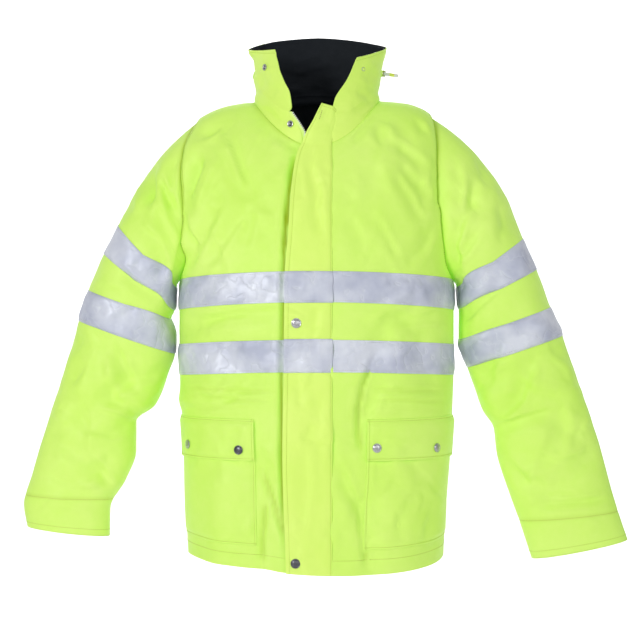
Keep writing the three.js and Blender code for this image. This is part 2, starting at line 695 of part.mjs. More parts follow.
function add(name, geometry, finish, parent = jacket) {
  const mesh = new THREE.Mesh(geometry, new THREE.MeshStandardMaterial(finish));
  mesh.name = name;
  parent.add(mesh);
  return mesh;
}

function addSeated(name, geometry, finish, spot, gap) {
  const mesh = add(name, geometry, finish);
  mesh.quaternion.setFromUnitVectors(vec(0, 1, 0), spot.dir);
  mesh.position.copy(spot.at).addScaledVector(spot.dir, gap);
  return mesh;
}

// Body, sleeves and collar
add('front_right', shell(frontRight, 0, -clothWall), hiVis);
add('front_left', shell(frontLeft, 0, -clothWall), hiVis);
add('back', shell(backPanel, 0, -clothWall), hiVis);
add('sleeve_right', shell(sleeves.right, 0, -clothWall, true), hiVis);
add('sleeve_left', shell(sleeves.left, 0, -clothWall, true), hiVis);
add('collar', shell(collar, 0, -collarWall), hiVisTrim);
add('storm_flap', shell(stormFlap, 0, -clothWall), hiVisTrim);

// Linings where they show through the V
const liningIn = -collarWall - seamGap;
const collarLining = part(collar, [0, collar.length - 1], liningTurns.map(turnColumn));
const liningTop = collarLining.length - 1;
collarLining[liningTop] = collarLining[liningTop].map((spot, k) => ({
  at: spot.at.clone().lerp(collarLining[liningTop - 1][k].at, liningDrop), dir: spot.dir,
}));
add('collar_lining', shell(collarLining, liningIn, liningIn - liningWall), liningCloth);
const backLining = part(backPanel, [rowOf(armholeFront(0)) - 3, panelRows.length - 1], [2, backCells - 2]);
add('back_lining', shell(backLining, -clothWall - seamGap, -clothWall - seamGap - liningWall), liningCloth);

// Front zip
add('zip_right', shell(zipStrip('right'), zipProud, zipProud - zipWall), plastic);
add('zip_left', shell(zipStrip('left'), zipProud, zipProud - zipWall), plastic);
add('zip_slider', zipSlider(), plastic);
const frontPull = { wide: 5, thick: 1.2, long: 22, y: -111.2, z: -95.5, tilt: -19 };
const pull = add('zip_pull', block(frontPull.wide, frontPull.thick, frontPull.long, 0, 0, 0), plastic);
pull.position.set(zipX, frontPull.y, frontPull.z);
pull.rotation.x = frontPull.tilt * degree;

// Hood zip round the back of the collar
const hoodRows = hoodZipShares.map((share) => collarShares.indexOf(share));
const hoodZip = part(collar, hoodRows, hoodZipTurns.map(turnColumn));
const hoodZipThick = 1.4;
const hoodCorners = part(hoodZip, [0, 1], [hoodZip[0].length - 3, hoodZip[0].length - 2]).flat();
const hoodMiddle = hoodCorners.reduce((sum, spot) => sum.add(spot.at), vec(0, 0, 0)).divideScalar(4);
const hoodOut = hoodCorners.reduce((sum, spot) => sum.add(spot.dir), vec(0, 0, 0)).normalize();
const hoodUp = vec(0, 0, 1).addScaledVector(hoodOut, -hoodOut.z).normalize();
const hoodEnd = new THREE.Group();
hoodEnd.quaternion.setFromRotationMatrix(
  new THREE.Matrix4().makeBasis(hoodOut, hoodUp.clone().cross(hoodOut), hoodUp));
hoodEnd.position.copy(hoodMiddle).addScaledVector(hoodOut, layGap + hoodZipThick + 0.45);
jacket.add(hoodEnd);
add('hood_zip', shell(hoodZip, layGap + hoodZipThick, layGap), hiVisTrim);
add('hood_zip_slider', hoodSlider(), steel, hoodEnd);
const hoodTab = add('hood_zip_pull', hoodPullShape(), plastic, hoodEnd);
hoodTab.position.x = hoodPin.out;

// Pockets
add('pocket_right', shell(pocketsRight.bag, 0, -pocketWall), hiVis);
add('pocket_left', shell(pocketsLeft.bag, 0, -pocketWall), hiVis);
add('pocket_flap_right', shell(pocketsRight.flap, 0, -pocketWall), hiVis);
add('pocket_flap_left', shell(pocketsLeft.flap, 0, -pocketWall), hiVis);

// Reflective tape on the body and the flap
const tapeOn = (grid) => shell(grid, layGap + tapeWall, layGap);
for (const [level, tape] of [['upper', upperTape], ['lower', lowerTape]]) {
  const rows = tape.map(rowOf);
  add(`tape_${level}_front_right`, tapeOn(part(frontRight, rows, [0, frontRight[0].length - 1])), reflective);
  add(`tape_${level}_flap`, tapeOn(part(stormFlap, rows, [0, flapShares.length - 1])), reflective);
  add(`tape_${level}_front_left`, tapeOn(part(frontLeft, rows, [2, frontLeft[0].length - 1])), reflective);
  add(`tape_${level}_back`, tapeOn(part(backPanel, rows, [0, backCells])), reflective);
}

// Reflective tape round the sleeves
for (const side of ['right', 'left']) {
  const ringPairs = [['upper', 0, 1], ['lower', 2, 4]];
  for (const [level, first, last] of ringPairs) {
    const rings = sleeves[side].slice(firstTapeRing + first, firstTapeRing + last + 1);
    add(`tape_sleeve_${side}_${level}`, shell(rings, layGap + tapeWall, layGap, true), reflective);
  }
}

// Snaps, by the place that they show in seen from the front
const snapGap = 0.8;
const snaps = rowsOf(['name', 'on', 'x', 'z', 'radius', 'height', 'kind'],
  ['snap_flap_upper', 'flap', -31, -374, 8, 2.2, 'cap'],
  ['snap_flap_lower', 'flap', -32, -758, 7.8, 2.2, 'cap'],
  ['snap_pocket_right_inner', 'pocketRight', -124.5, -579, 7.5, 2.2, 'cap'],
  ['snap_pocket_right_outer', 'pocketRight', -210, -573, 7.5, 2.2, 'cap'],
  ['snap_pocket_left_inner', 'pocketLeft', 97, -577, 7.5, 2.2, 'cap'],
  ['snap_pocket_left_outer', 'pocketLeft', 196, -577, 7.5, 2.2, 'cap'],
  ['stud_collar_upper', 'collar', -84, 48, 5.4, 2.6, 'stud'],
  ['stud_collar_lower', 'collar', -45, -47, 5.6, 2.6, 'stud'],
  ['snap_collar_left', 'collar', 76, 42, 4.5, 1.6, 'cap']);
const snapGrids = {
  flap: stormFlap, pocketRight: pocketsRight.flap, pocketLeft: pocketsLeft.flap, collar,
};
for (const snap of snaps) {
  const outline = snap.kind === 'cap' ? dome(snap.radius, snap.height) : ringStud(snap.radius, snap.height);
  const finish = snap.name === 'snap_flap_lower' ? darkSteel : steel;
  addSeated(snap.name, turned(outline), finish, spotNear(snapGrids[snap.on], snap.x, snap.z), snapGap);
}

export default jacket;
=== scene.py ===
import math

import bmesh
import bpy
import numpy as np
from mathutils import Matrix, Vector


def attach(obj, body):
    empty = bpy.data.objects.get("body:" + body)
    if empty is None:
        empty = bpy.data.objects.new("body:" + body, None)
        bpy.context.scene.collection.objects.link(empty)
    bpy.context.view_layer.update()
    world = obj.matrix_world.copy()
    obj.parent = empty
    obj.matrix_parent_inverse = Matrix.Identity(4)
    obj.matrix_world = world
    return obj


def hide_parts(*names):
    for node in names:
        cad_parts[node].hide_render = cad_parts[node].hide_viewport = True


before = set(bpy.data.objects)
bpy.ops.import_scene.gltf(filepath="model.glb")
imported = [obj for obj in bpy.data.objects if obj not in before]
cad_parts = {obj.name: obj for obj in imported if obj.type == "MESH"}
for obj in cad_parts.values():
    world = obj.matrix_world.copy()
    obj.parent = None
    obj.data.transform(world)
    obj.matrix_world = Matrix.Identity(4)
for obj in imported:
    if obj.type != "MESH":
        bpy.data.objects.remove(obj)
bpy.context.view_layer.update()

# Hi-vis work jacket, filled out with no wearer. The pattern's tables are in
# millimetres, as in the solids; every mesh is made in metres.
mm = 0.001
jacketBody = "jacket"
pullBody = "hood_zip_pull_tab"

# ---------------------------------------------------------------- camera, floor and light
shot = {"x": 5.9, "y": -2800, "z": -370.5, "lens": 93.3}
studio = {"floor": -1450, "behind": 5600, "ahead": -4600, "sweep": 1600, "half": 8000, "top": 9000,
          "shade": 0.93}


def deselect():
    if bpy.context.object and bpy.context.object.mode != "OBJECT":
        bpy.ops.object.mode_set(mode="OBJECT")
    bpy.ops.object.select_all(action="DESELECT")


def pick(piece):
    deselect()
    piece.select_set(True)
    bpy.context.view_layer.objects.active = piece


deselect()
bpy.ops.object.camera_add(location=(shot["x"] * mm, shot["y"] * mm, shot["z"] * mm), rotation=(math.pi / 2, 0, 0))
camera = bpy.context.object
camera.data.lens = shot["lens"]
camera.data.sensor_width = 36
camera.data.clip_end = 60
bpy.context.scene.camera = camera
bpy.context.scene.view_settings.view_transform = "Standard"


# ---------------------------------------------------------------- curves through the tables
def curve(xs, ys):
    xs, ys = np.array(xs, float), np.array(ys, float)
    slope = np.diff(ys) / np.diff(xs)
    both = slope[:-1] + slope[1:]
    product = slope[:-1] * slope[1:]
    middle = np.where(product <= 0, 0, 2 * product / np.where(both == 0, 1, both))
    tangent = np.concatenate([[slope[0]], middle, [slope[-1]]])

    def at(x):
        x = np.clip(x, xs[0], xs[-1])
        i = np.clip(np.searchsorted(xs, x, side="right") - 1, 0, len(xs) - 2)
        width = xs[i + 1] - xs[i]
        t = (x - xs[i]) / width
        return (ys[i] * (1 + 2 * t) * (1 - t) ** 2 + width * tangent[i] * t * (1 - t) ** 2
                + ys[i + 1] * t * t * (3 - 2 * t) - width * tangent[i + 1] * t * t * (1 - t))
    return at


def curvesOf(names, table):
    columns = list(zip(*table))
    return {name: curve(columns[0], column) for name, column in zip(names, columns)}


def mix(a, b, t):
    return a + (b - a) * t


def unit(vectors):
    return vectors / np.maximum(np.linalg.norm(vectors, axis=-1, keepdims=True), 1e-9)


cloth = {
    "step": 3.6, "wall": 2.0, "gap": 0.35, "thin": 1.2,
    "hem": -779, "neck": -87,
    "armholeMiddle": -207, "armholeHalf": 78, "armholeSpread": 30,
    "upperTape": (-342, -292), "lowerTape": (-454, -402),
    "pocketBottom": -740, "pocketTop": -545, "pocketFlapBottom": -597, "pocketFlapTop": -530,
    "zipX": -16, "zipHalf": 5.8, "flapSeamX": 26, "flapLift": 4.8,
    "pocketAngleRight": 25.4, "pocketAngleLeft": 20.5, "pocketPuff": 2.4, "pocketShare": 6 / 7,
}
degreeWide = 4.0  # millimetres to one degree round the body

bodyNames = ["front", "side", "back", "right", "left", "depthFront", "depthBack", "full", "slant", "leftUp"]
bodyRings = [
    (-779, -760, -770, 216, 214, 148, 130, 0.06, 0.055, 0), (-690, -680, -685, 220, 217, 150, 130, 0.06, 0.02, 0),
    (-592, -590, -592, 222, 224, 151, 128, 0.06, 0, 0), (-535, -532, -534, 225, 228, 151, 126, 0.06, 0, 0),
    (-454, -462, -458, 230, 231, 150, 128, 0.06, 0, 0), (-402, -411, -406, 231, 231, 150, 133, 0.06, 0, 0),
    (-342, -354, -344, 231, 231, 150, 140, 0.06, 0, 0), (-292, -303, -290, 229, 229, 148, 144, 0.06, 0, 0),
    (-276, -278, -268, 228, 225, 147, 145, 0.06, 0, 0), (-250, -240, -235, 239, 228, 145, 146, 0.06, 0, 0),
    (-205, -160, -160, 250, 227, 139, 146, 0.06, 0, 2), (-165, -90, -90, 240, 217, 131, 138, 0.05, 0, 5),
    (-130, -38, -45, 206, 198, 121, 122, 0.04, 0, 8), (-107, -12, -10, 158, 158, 113, 104, 0.02, 0, 5),
    (-87, -2, 18, 106, 106, 106, 85, 0, 0, 1)]
bodyCurves = curvesOf(bodyNames, bodyRings)

# Soft troughs (ridges where negative) along lines in X and Z: face, line, width, depth
bodyFolds = [
    ("front", [(-154, -60), (-112, -160)], 20, 6), ("front", [(-196, -110), (-214, -182)], 16, 5),
    ("front", [(150, -70), (178, -170)], 22, 4), ("front", [(-86, -610), (-88, -770)], 20, 7),
    ("front", [(-150, -640), (-160, -770)], 26, -6), ("front", [(82, -670), (88, -765)], 22, 6),
    ("front", [(105, -400), (68, -560)], 20, 6), ("front", [(150, -380), (190, -470)], 26, 5),
    ("front", [(-190, -380), (-110, -460)], 26, 5), ("front", [(-175, -480), (-215, -505)], 22, -5),
    ("back", [(-150, -110), (-110, -230)], 26, 6), ("back", [(150, -105), (115, -235)], 26, 6),
    ("back", [(-60, -440), (-90, -760)], 34, 7), ("back", [(70, -470), (95, -765)], 34, 8),
    ("back", [(-170, -360), (-60, -430)], 28, 5), ("back", [(180, -380), (60, -450)], 28, 5)]
bodyCreases = [
    ("front", [(-147, -72), (-123, -138), (-111, -162)], 5, -2.2), ("front", [(-192, -103), (-196, -123), (-216, -169)], 8, 4),
    ("front", [(-165, -46), (-172, -58), (-189, -68)], 6, 2.6), ("front", [(-158, -58), (-150, -68), (-140, -99)], 8, -1.8),
    ("front", [(-108, -179), (-111, -231), (-118, -255)], 11, 2), ("front", [(-156, -183), (-200, -265), (-209, -288)], 9, 3),
    ("front", [(-209, -228), (-197, -253)], 5, 2.6), ("front", [(-200, -372), (-156, -366), (-55, -355)], 8, 2.2),
    ("front", [(-215, -479), (-139, -483), (-66, -486)], 3.6, 1.2), ("front", [(-216, -492), (-148, -496), (-66, -498)], 3.6, 1.2),
    ("front", [(-213, -512), (-94, -510)], 3.6, 0.7), ("front", [(-88, -610), (-66, -669), (-50, -722)], 4, 2.8),
    ("front", [(-80, -652), (-88, -730), (-86, -768)], 4, 2.8), ("front", [(-98, -25), (-84, -37), (-68, -66)], 6, 2.2),
    ("front", [(-66, -63), (-31, -88), (-29, -96)], 6, 2.4), ("front", [(-31, -99), (-36, -150)], 7, 2.6),
    ("front", [(96, -45), (120, -79), (155, -95)], 8, 1.6), ("front", [(138, -114), (168, -153)], 8, 1.4),
    ("front", [(167, -137), (189, -168)], 6, 1.4), ("front", [(168, -41), (182, -61)], 6, 2),
    ("front", [(210, -128), (205, -169), (203, -188)], 6, 2.4), ("front", [(38, -604), (55, -646), (76, -681), (83, -725)], 7, 3),
    ("front", [(100, -425), (90, -445), (77, -478), (70, -512), (72, -560), (76, -590)], 3.6, 2.8), ("front", [(150, -390), (212, -390)], 7, 1.8),
    ("front", [(92, -496), (151, -499), (218, -504)], 3.6, 1.2), ("front", [(92, -508), (151, -512), (216, -516)], 3.6, 0.8),
    ("front", [(88, -478), (138, -483), (218, -487)], 3.6, 1.2), ("front", [(120, -360), (160, -372), (205, -360)], 8, 1.8),
    ("front", [(-164, -108), (-182, -154), (-198, -194)], 8, -2.2), ("front", [(-160, -60), (-138, -106), (-121, -151)], 5, -1.8),
    ("front", [(-116, -194), (-155, -252), (-182, -290)], 8, 2.2), ("front", [(-222, -194), (-211, -218), (-202, -247)], 5, 2.6),
    ("front", [(-106, -357), (-145, -361), (-183, -372)], 7, 1.8), ("front", [(96, -204), (115, -239), (134, -271)], 6, 1.5),
    ("front", [(134, -79), (158, -98), (182, -117)], 6, 1.8), ("front", [(123, -130), (153, -172), (173, -213)], 7, 1.6),
    ("front", [(-178, -226), (-162, -258), (-151, -287)], 7, 1.8), ("front", [(54, -202), (73, -242), (80, -278)], 9, 1.4),
    ("front", [(192, -218), (174, -258), (142, -284)], 8, 1.8), ("front", [(-194, -491), (-162, -499), (-126, -486)], 8, 1.6),
    ("front", [(121, -467), (96, -499), (80, -531)], 7, 1.8), ("front", [(-178, -611), (-186, -659), (-177, -723)], 9, 2.0),
    ("front", [(-129, -643), (-145, -691), (-135, -736)], 9, 1.6), ("front", [(166, -611), (182, -667), (166, -723)], 9, 2.0),
    ("front", [(121, -627), (137, -675), (128, -723)], 9, 1.6),
    ("front", [(112, -26), (94, -44), (55, -86)], 6, 1.6), ("front", [(92, -28), (70, -52), (46, -86)], 7, -1.4),
    ("front", [(115, -32), (112, -53), (103, -88)], 6, 1.5),
    ("front", [(77, -660), (78, -700), (81, -743), (86, -768)], 4, 2.6),
    ("front", [(-190, -560), (-205, -640), (-196, -710)], 12, 2.2), ("front", [(190, -610), (200, -700), (185, -752)], 12, 2.4),
    ("back", [(-60, -40), (-86, -96), (-90, -150)], 9, 2.4), ("back", [(64, -42), (80, -110), (72, -168)], 9, 2),
    ("back", [(-196, -104), (-205, -150), (-214, -176)], 8, 3.4), ("back", [(190, -96), (208, -160), (206, -186)], 8, 3),
    ("back", [(-206, -228), (-180, -262), (-130, -280)], 8, 2.6), ("back", [(206, -226), (170, -268), (120, -276)], 8, 2.2),
    ("back", [(-204, -372), (-120, -366), (-30, -376)], 9, 2.2), ("back", [(30, -364), (110, -378), (206, -370)], 9, 2.4),
    ("back", [(-190, -486), (-90, -498), (20, -490)], 6, 1.8), ("back", [(40, -500), (120, -492), (205, -502)], 6, 1.8),
    ("back", [(-204, -520), (-110, -516), (-20, -528)], 6, 1.5), ("back", [(60, -530), (140, -522), (204, -530)], 6, 1.5),
    ("back", [(-150, -590), (-128, -660), (-138, -752)], 9, 3), ("back", [(-20, -560), (-34, -650), (-22, -750)], 10, 2.6),
    ("back", [(150, -580), (138, -660), (160, -748)], 9, 3.2), ("back", [(-40, -180), (-10, -230), (-26, -282)], 12, 1.8),
    ("back", [(60, -190), (50, -240), (88, -280)], 12, 1.8)]
besideFlap = [("front", [(-34, -106), (-44, -175), (-50, -250), (-52, -340), (-54, -460), (-55, -590), (-51, -728),
                         (-50, -776)], 3, 2.1), ("front", [(-30, -92), (-39, -140), (-46, -200), (-50, -260)], 4, 1.5)]
narrowCreases = [crease for crease in bodyCreases if crease[2] <= 4]
bodyCreases += besideFlap


def scattered(seed, face, across, up, count, length, width, depth, lean):
    # faint short creases between the placed ones, the same each run
    rng = np.random.default_rng(seed)
    strokes = []
    for _ in range(count):
        x, z = rng.uniform(*across), rng.uniform(*up)
        turn = math.radians(rng.choice(lean) + rng.normal(0, 14))
        reach = rng.uniform(*length) / 2
        dx, dz = math.cos(turn) * reach, math.sin(turn) * reach
        bow = rng.normal(0, 0.18) * reach
        strokes.append((face, [(x - dx, z - dz), (x - dz / reach * bow, z + dx / reach * bow), (x + dx, z + dz)],
                        rng.uniform(*width), rng.uniform(*depth) * rng.choice([-1, 1, 1])))
    return strokes


def strokeDepth(points, middleY, strokes, crisp=False):
    flat = points.reshape(-1, 3)
    aside = flat[:, 1] - np.broadcast_to(middleY, points.shape[:-1]).reshape(-1)
    fade = np.clip(np.abs(aside) / 40, 0, 1)
    total = np.zeros(len(flat))
    for face, line, width, depth in strokes:
        line = np.array(line, float)
        low, high = line.min(0) - 5 * width, line.max(0) + 5 * width
        near = (aside < 0) if face == "front" else (aside >= 0)
        near &= (flat[:, 0] > low[0]) & (flat[:, 0] < high[0]) & (flat[:, 2] > low[1]) & (flat[:, 2] < high[1])
        if not near.any():
            continue
        at = flat[near][:, [0, 2]]
        away, share, steep = np.full(len(at), 1e9), np.zeros(len(at)), np.zeros(len(at), bool)
        lengths = np.linalg.norm(np.diff(line, axis=0), axis=1)
        gone = 0
        for k, length in enumerate(lengths):
            run = line[k + 1] - line[k]
            t = np.clip(((at - line[k]) @ run) / length ** 2, 0, 1)
            distance = np.linalg.norm(at - line[k] - t[:, None] * run, axis=1)
            closer = distance < away
            away[closer] = distance[closer]
            share[closer] = (gone + t[closer] * length) / lengths.sum()
            steep[closer] = ((at - line[k]) @ (-run[1], run[0]))[closer] > 0
            gone += length
        if crisp:  # steep on one side of the line, running out softly on the other
            away = away / width * np.where(steep, 1.35, 0.6)
            profile = np.exp(-away ** 2) - 0.34 * np.exp(-((away - 1.9) / 0.9) ** 2)
            profile *= np.clip(1.7 * np.sin(math.pi * np.clip(share, 0.04, 0.96)), 0, 1)
        else:
            profile = np.exp(-(away / width) ** 2)
        total[near] += fade[near] * depth * profile * (2.1 if crisp else 1.4)
    return total.reshape(points.shape[:-1])


# ---------------------------------------------------------------- the body's surface
def plainBody(angle, front):
    across, ahead = np.sin(np.radians(angle)), np.cos(np.radians(angle))
    ring = {name: at(front) for name, at in bodyCurves.items()}
    full = 1 + ring["full"] * np.sin(2 * np.radians(angle)) ** 2
    half = np.where(across < 0, ring["right"], ring["left"])
    depth = np.where(ahead > 0, ring["depthFront"], ring["depthBack"])
    middle = np.where(ahead > 0, ring["front"], ring["back"])
    side = ring["side"] + np.where(across < 0, 0, ring["leftUp"])
    slant = ring["slant"] * half * across * np.maximum(0, ahead)
    return np.stack([half * across * full, -depth * ahead * full, mix(side, middle, ahead ** 2) - slant], -1)


def bodyNormal(angle, front):
    low, high = np.maximum(front - 3, cloth["hem"]), np.minimum(front + 3, cloth["neck"])
    up = plainBody(angle, high) - plainBody(angle, low)
    around = plainBody(angle + 0.5, front) - plainBody(angle - 0.5, front)
    return unit(np.cross(around, up))


def angleAt(x, front):
    ring = {name: at(front) for name, at in bodyCurves.items()}
    half = np.where(x < 0, ring["right"], ring["left"])
    angle = np.zeros(np.broadcast(x, front).shape)
    for _ in range(8):
        angle = np.arcsin(x / half / (1 + ring["full"] * np.sin(2 * angle) ** 2))
    return np.degrees(angle)


def armholeOpen(turn):
    power = np.where(np.cos(np.radians(turn)) < 0, 0.65, 1)
    return cloth["armholeSpread"] * np.abs(np.sin(np.radians(turn))) ** power


def armholeFront(turn):
    return cloth["armholeMiddle"] + cloth["armholeHalf"] * np.cos(np.radians(turn))


def armholeReach(angle, front):
    # how many times further out the armhole's edge lies: over 1 inside it
    aside = np.abs(np.abs((angle + 180) % 360 - 180) - 90)
    up = (front - cloth["armholeMiddle"]) / cloth["armholeHalf"]
    low, high = np.zeros(aside.shape), np.minimum(1 / np.maximum(np.abs(up), 1e-6), 60 / np.maximum(aside, 1e-6))
    for _ in range(44):
        half = (low + high) / 2
        outside = half * aside > armholeOpen(np.degrees(np.arccos(np.clip(half * up, -1, 1))))
        high, low = np.where(outside, half, high), np.where(outside, low, half)
    return (low + high) / 2


ovalTurns = np.linspace(0, 360, 181)
ovalAngle = 90 + armholeOpen(ovalTurns) * np.where(ovalTurns > 180, -1, 1)
ovalLine = np.stack([ovalAngle * degreeWide, armholeFront(ovalTurns)], -1)


def seamDip(angle, front):
    # cloth drawn in along the armhole, side, shoulder and neck seams
    wrapped = np.abs((angle + 180) % 360 - 180)
    flat = np.stack([wrapped * degreeWide, front], -1).reshape(-1, 2)
    away = np.full(len(flat), 1e9)
    near = (flat[:, 1] > -310) & (flat[:, 1] < -100) & (flat[:, 0] > 190)
    away[near] = np.linalg.norm(flat[near][:, None] - ovalLine[None], axis=2).min(1)
    dip = 3 * np.exp(-(away.reshape(wrapped.shape) / 4.4) ** 2)
    side = np.abs(wrapped - 90) * degreeWide
    dip = dip + 1.3 * np.exp(-(side / 3.6) ** 2) * (np.abs(front - cloth["armholeMiddle"]) > cloth["armholeHalf"])
    signed = (angle + 180) % 360 - 180
    return dip + np.interp(signed, [-12, 8, 85, 120], [1.8, 0.3, 0.3, 1.8]) * np.exp(-((cloth["neck"] - front) / 4) ** 2)


smallCreases = (
    scattered(11, "front", (-215, 215), (-280, -40), 34, (26, 90), (6, 13), (0.5, 1.1), [-60, -25, 55, 80])
    + scattered(12, "front", (-215, 215), (-560, -300), 34, (26, 90), (6, 12), (0.5, 1.1), [0, 10, -12, 75])
    + scattered(13, "front", (-205, 205), (-770, -560), 30, (30, 100), (7, 14), (0.5, 1.3), [85, 95, 65, -70])
    + scattered(14, "back", (-215, 215), (-300, -10), 44, (30, 100), (7, 14), (0.6, 1.4), [-60, 60, 85, 20])
    + scattered(15, "back", (-215, 215), (-560, -300), 40, (30, 100), (6, 12), (0.6, 1.3), [0, 12, -14, 80])
    + scattered(16, "back", (-205, 205), (-765, -560), 34, (40, 120), (8, 15), (0.7, 1.5), [88, 96, 70, -72]))


def underPockets(angle, front):
    # 1 beneath a pocket, where the body lies flat, running out 8 mm outside its edges
    signed = (angle + 180) % 360 - 180
    covered = 0
    for sign, start in ((-1, cloth["pocketAngleRight"]), (1, cloth["pocketAngleLeft"])):
        end = mix(start, 90, cloth["pocketShare"])
        aside = np.minimum(sign * signed - start, end - sign * signed) * degreeWide
        inside = np.minimum(aside, np.minimum(front - cloth["pocketBottom"], cloth["pocketFlapTop"] - front))
        covered = covered + np.clip(1 + inside / 8, 0, 1)
    return covered


def paintedBodyShade(angle, front):
    # painted shade: how far each place lies down in a seam or crease, for darkening the colour there
    plain = plainBody(angle, front)
    seams = strokeDepth(plain, 0, besideFlap, True) + seamDip(angle, front)
    lines = strokeDepth(plain, 0, narrowCreases, True) * (1 - underPockets(angle, front))
    return np.clip(seams / 4, 0, 1) ** 1.5 + 0.25 * np.clip(lines / 4, 0, 1) ** 1.5


def bodySurface(angle, front, creased=True):
    angle, front = np.broadcast_arrays(np.asarray(angle, float), np.asarray(front, float))
    plain, normal = plainBody(angle, front), bodyNormal(angle, front)
    fade = np.clip((cloth["neck"] - front) / 9, 0, 1)
    depth = strokeDepth(plain, 0, bodyFolds) * fade
    if creased:
        fade = fade * (1 - underPockets(angle, front))
        depth = depth + strokeDepth(plain, 0, bodyCreases + smallCreases, True) * fade + seamDip(angle, front)
    return plain - normal * depth[..., None], normal


# ---------------------------------------------------------------- shader wiring
class Wire:
    def __init__(self, tree, socket):
        self.tree, self.socket = tree, socket

    def math(self, operation, other=None, flip=False):
        step = self.tree.nodes.new("ShaderNodeMath")
        step.operation = operation
        for slot, value in zip(step.inputs, (other, self) if flip else (self, other)):
            if isinstance(value, Wire):
                self.tree.links.new(value.socket, slot)
            elif value is not None:
                slot.default_value = value
        return Wire(self.tree, step.outputs[0])

    def __add__(self, other): return self.math("ADD", other)
    def __radd__(self, other): return self.math("ADD", other, True)
    def __sub__(self, other): return self.math("SUBTRACT", other)
    def __rsub__(self, other): return self.math("SUBTRACT", other, True)
    def __mul__(self, other): return self.math("MULTIPLY", other)
    def __rmul__(self, other): return self.math("MULTIPLY", other, True)
    def __pow__(self, other): return self.math("POWER", other)
    def __gt__(self, other): return self.math("GREATER_THAN", other)
    def __lt__(self, other): return self.math("LESS_THAN", other)
    def sine(self): return self.math("SINE")
    def size(self): return self.math("ABSOLUTE")


class Finish:
    def __init__(self, name, fixed):
        self.material = bpy.data.materials.new(name)
        self.material.use_nodes = True
        self.tree = self.material.node_tree
        self.shader = next(n for n in self.tree.nodes if n.type == "BSDF_PRINCIPLED")
        for socket, value in fixed.items():
            self.shader.inputs[socket].default_value = value

    def node(self, kind, settings=None, values=None, out=0):
        made = self.tree.nodes.new("ShaderNode" + kind)
        for key, value in (settings or {}).items():
            if key == "stops":
                while len(made.color_ramp.elements) < len(value):
                    made.color_ramp.elements.new(0.5)
                for stop, (place, colour) in zip(made.color_ramp.elements, value):
                    stop.position, stop.color = place, colour
            else:
                setattr(made, key, value)
        for key, value in (values or {}).items():
            slot = made.inputs[key]
            if isinstance(value, Wire):
                self.tree.links.new(value.socket, slot)
            else:
                slot.default_value = value
        return Wire(self.tree, made.outputs[out])

    def feed(self, socket, wire):
        self.tree.links.new(wire.socket, self.shader.inputs[socket])

    def place(self, out="Object"):
        return self.node("TexCoord", out=out)

    def noise(self, scale, detail=3, rough=0.5, at=None):
        return self.node("TexNoise", values={
            "Vector": at or self.place(), "Scale": scale, "Detail": detail, "Roughness": rough})

    def colours(self, a, b, factor):
        first = a if isinstance(a, Wire) else (*a, 1)
        return self.node("MixRGB", values={"Fac": factor, "Color1": first, "Color2": (*b, 1)})

    def bump(self, height, strength, distance):
        self.feed("Normal", self.node("Bump", values={"Strength": strength, "Distance": distance, "Height": height}))

    def weave(self, pitch):
        # plain weave on the piece's own map, which is in metres
        split = self.tree.nodes.new("ShaderNodeSeparateXYZ")
        self.tree.links.new(self.place("UV").socket, split.inputs[0])
        across, along = (Wire(self.tree, split.outputs[k]) * (math.pi / pitch) for k in (0, 1))
        return (across.sine() * along.sine()).size()


def clothFinish(name, light, deep, rough, glow, weave):
    # painted glow: an even green emission, standing in for the cloth's fluorescence, keeps its shade bright
    made = Finish(name, {"Sheen Weight": 0.1 if glow else 0, "Sheen Roughness": 0.4, "Specular IOR Level": 0.3,
                         "Emission Color": (0.3, 1, 0.03, 1), "Emission Strength": glow})
    drift = made.noise(7, 3, 0.5)
    crumple = made.noise(90, 4, 0.6)
    base = made.colours(light, deep, (drift * 0.75 + crumple * 0.25) * 2.6 - 0.8)
    # painted shade: olive is mixed into the base colour as far as the shade attribute marks seams and creases
    if glow > 0.1:
        base = made.colours(base, (0.3, 0.27, 0.005), made.node("Attribute", {"attribute_name": "shade"}, out=2))
    made.feed("Base Color", base)
    made.feed("Roughness", rough + crumple * 0.12 - 0.06)
    made.bump(made.weave(weave) * 0.5 + crumple * 0.9, 0.22, 0.0006)
    return made.material


hiVis = clothFinish("hi_vis_cloth", (0.66, 0.78, 0.2), (0.58, 0.76, 0.13), 0.5, 0.2, 0.0011)
hiVisTrim = clothFinish("hi_vis_trim", (0.71, 0.79, 0.2), (0.64, 0.77, 0.15), 0.46, 0.2, 0.0011)
lining = clothFinish("dark_lining", (0.0065, 0.010, 0.015), (0.004, 0.007, 0.010), 0.8, 0, 0.0009)
zipCloth = clothFinish("zip_tape", (0.72, 0.80, 0.3), (0.66, 0.76, 0.22), 0.6, 0.2, 0.0014)
# thread darker than the cloth: partly the thread's colour, partly painted shade of its stitch channels; its emission is
# painted glow
stitchThread = clothFinish("hi_vis_thread", (0.5, 0.58, 0.07), (0.4, 0.48, 0.05), 0.6, 0.08, 0.0005)
tapeThread = clothFinish("grey_thread", (0.6, 0.62, 0.66), (0.5, 0.52, 0.56), 0.6, 0, 0.0005)
tackThread = clothFinish("brown_thread", (0.2, 0.12, 0.06), (0.12, 0.07, 0.04), 0.7, 0, 0.0005)


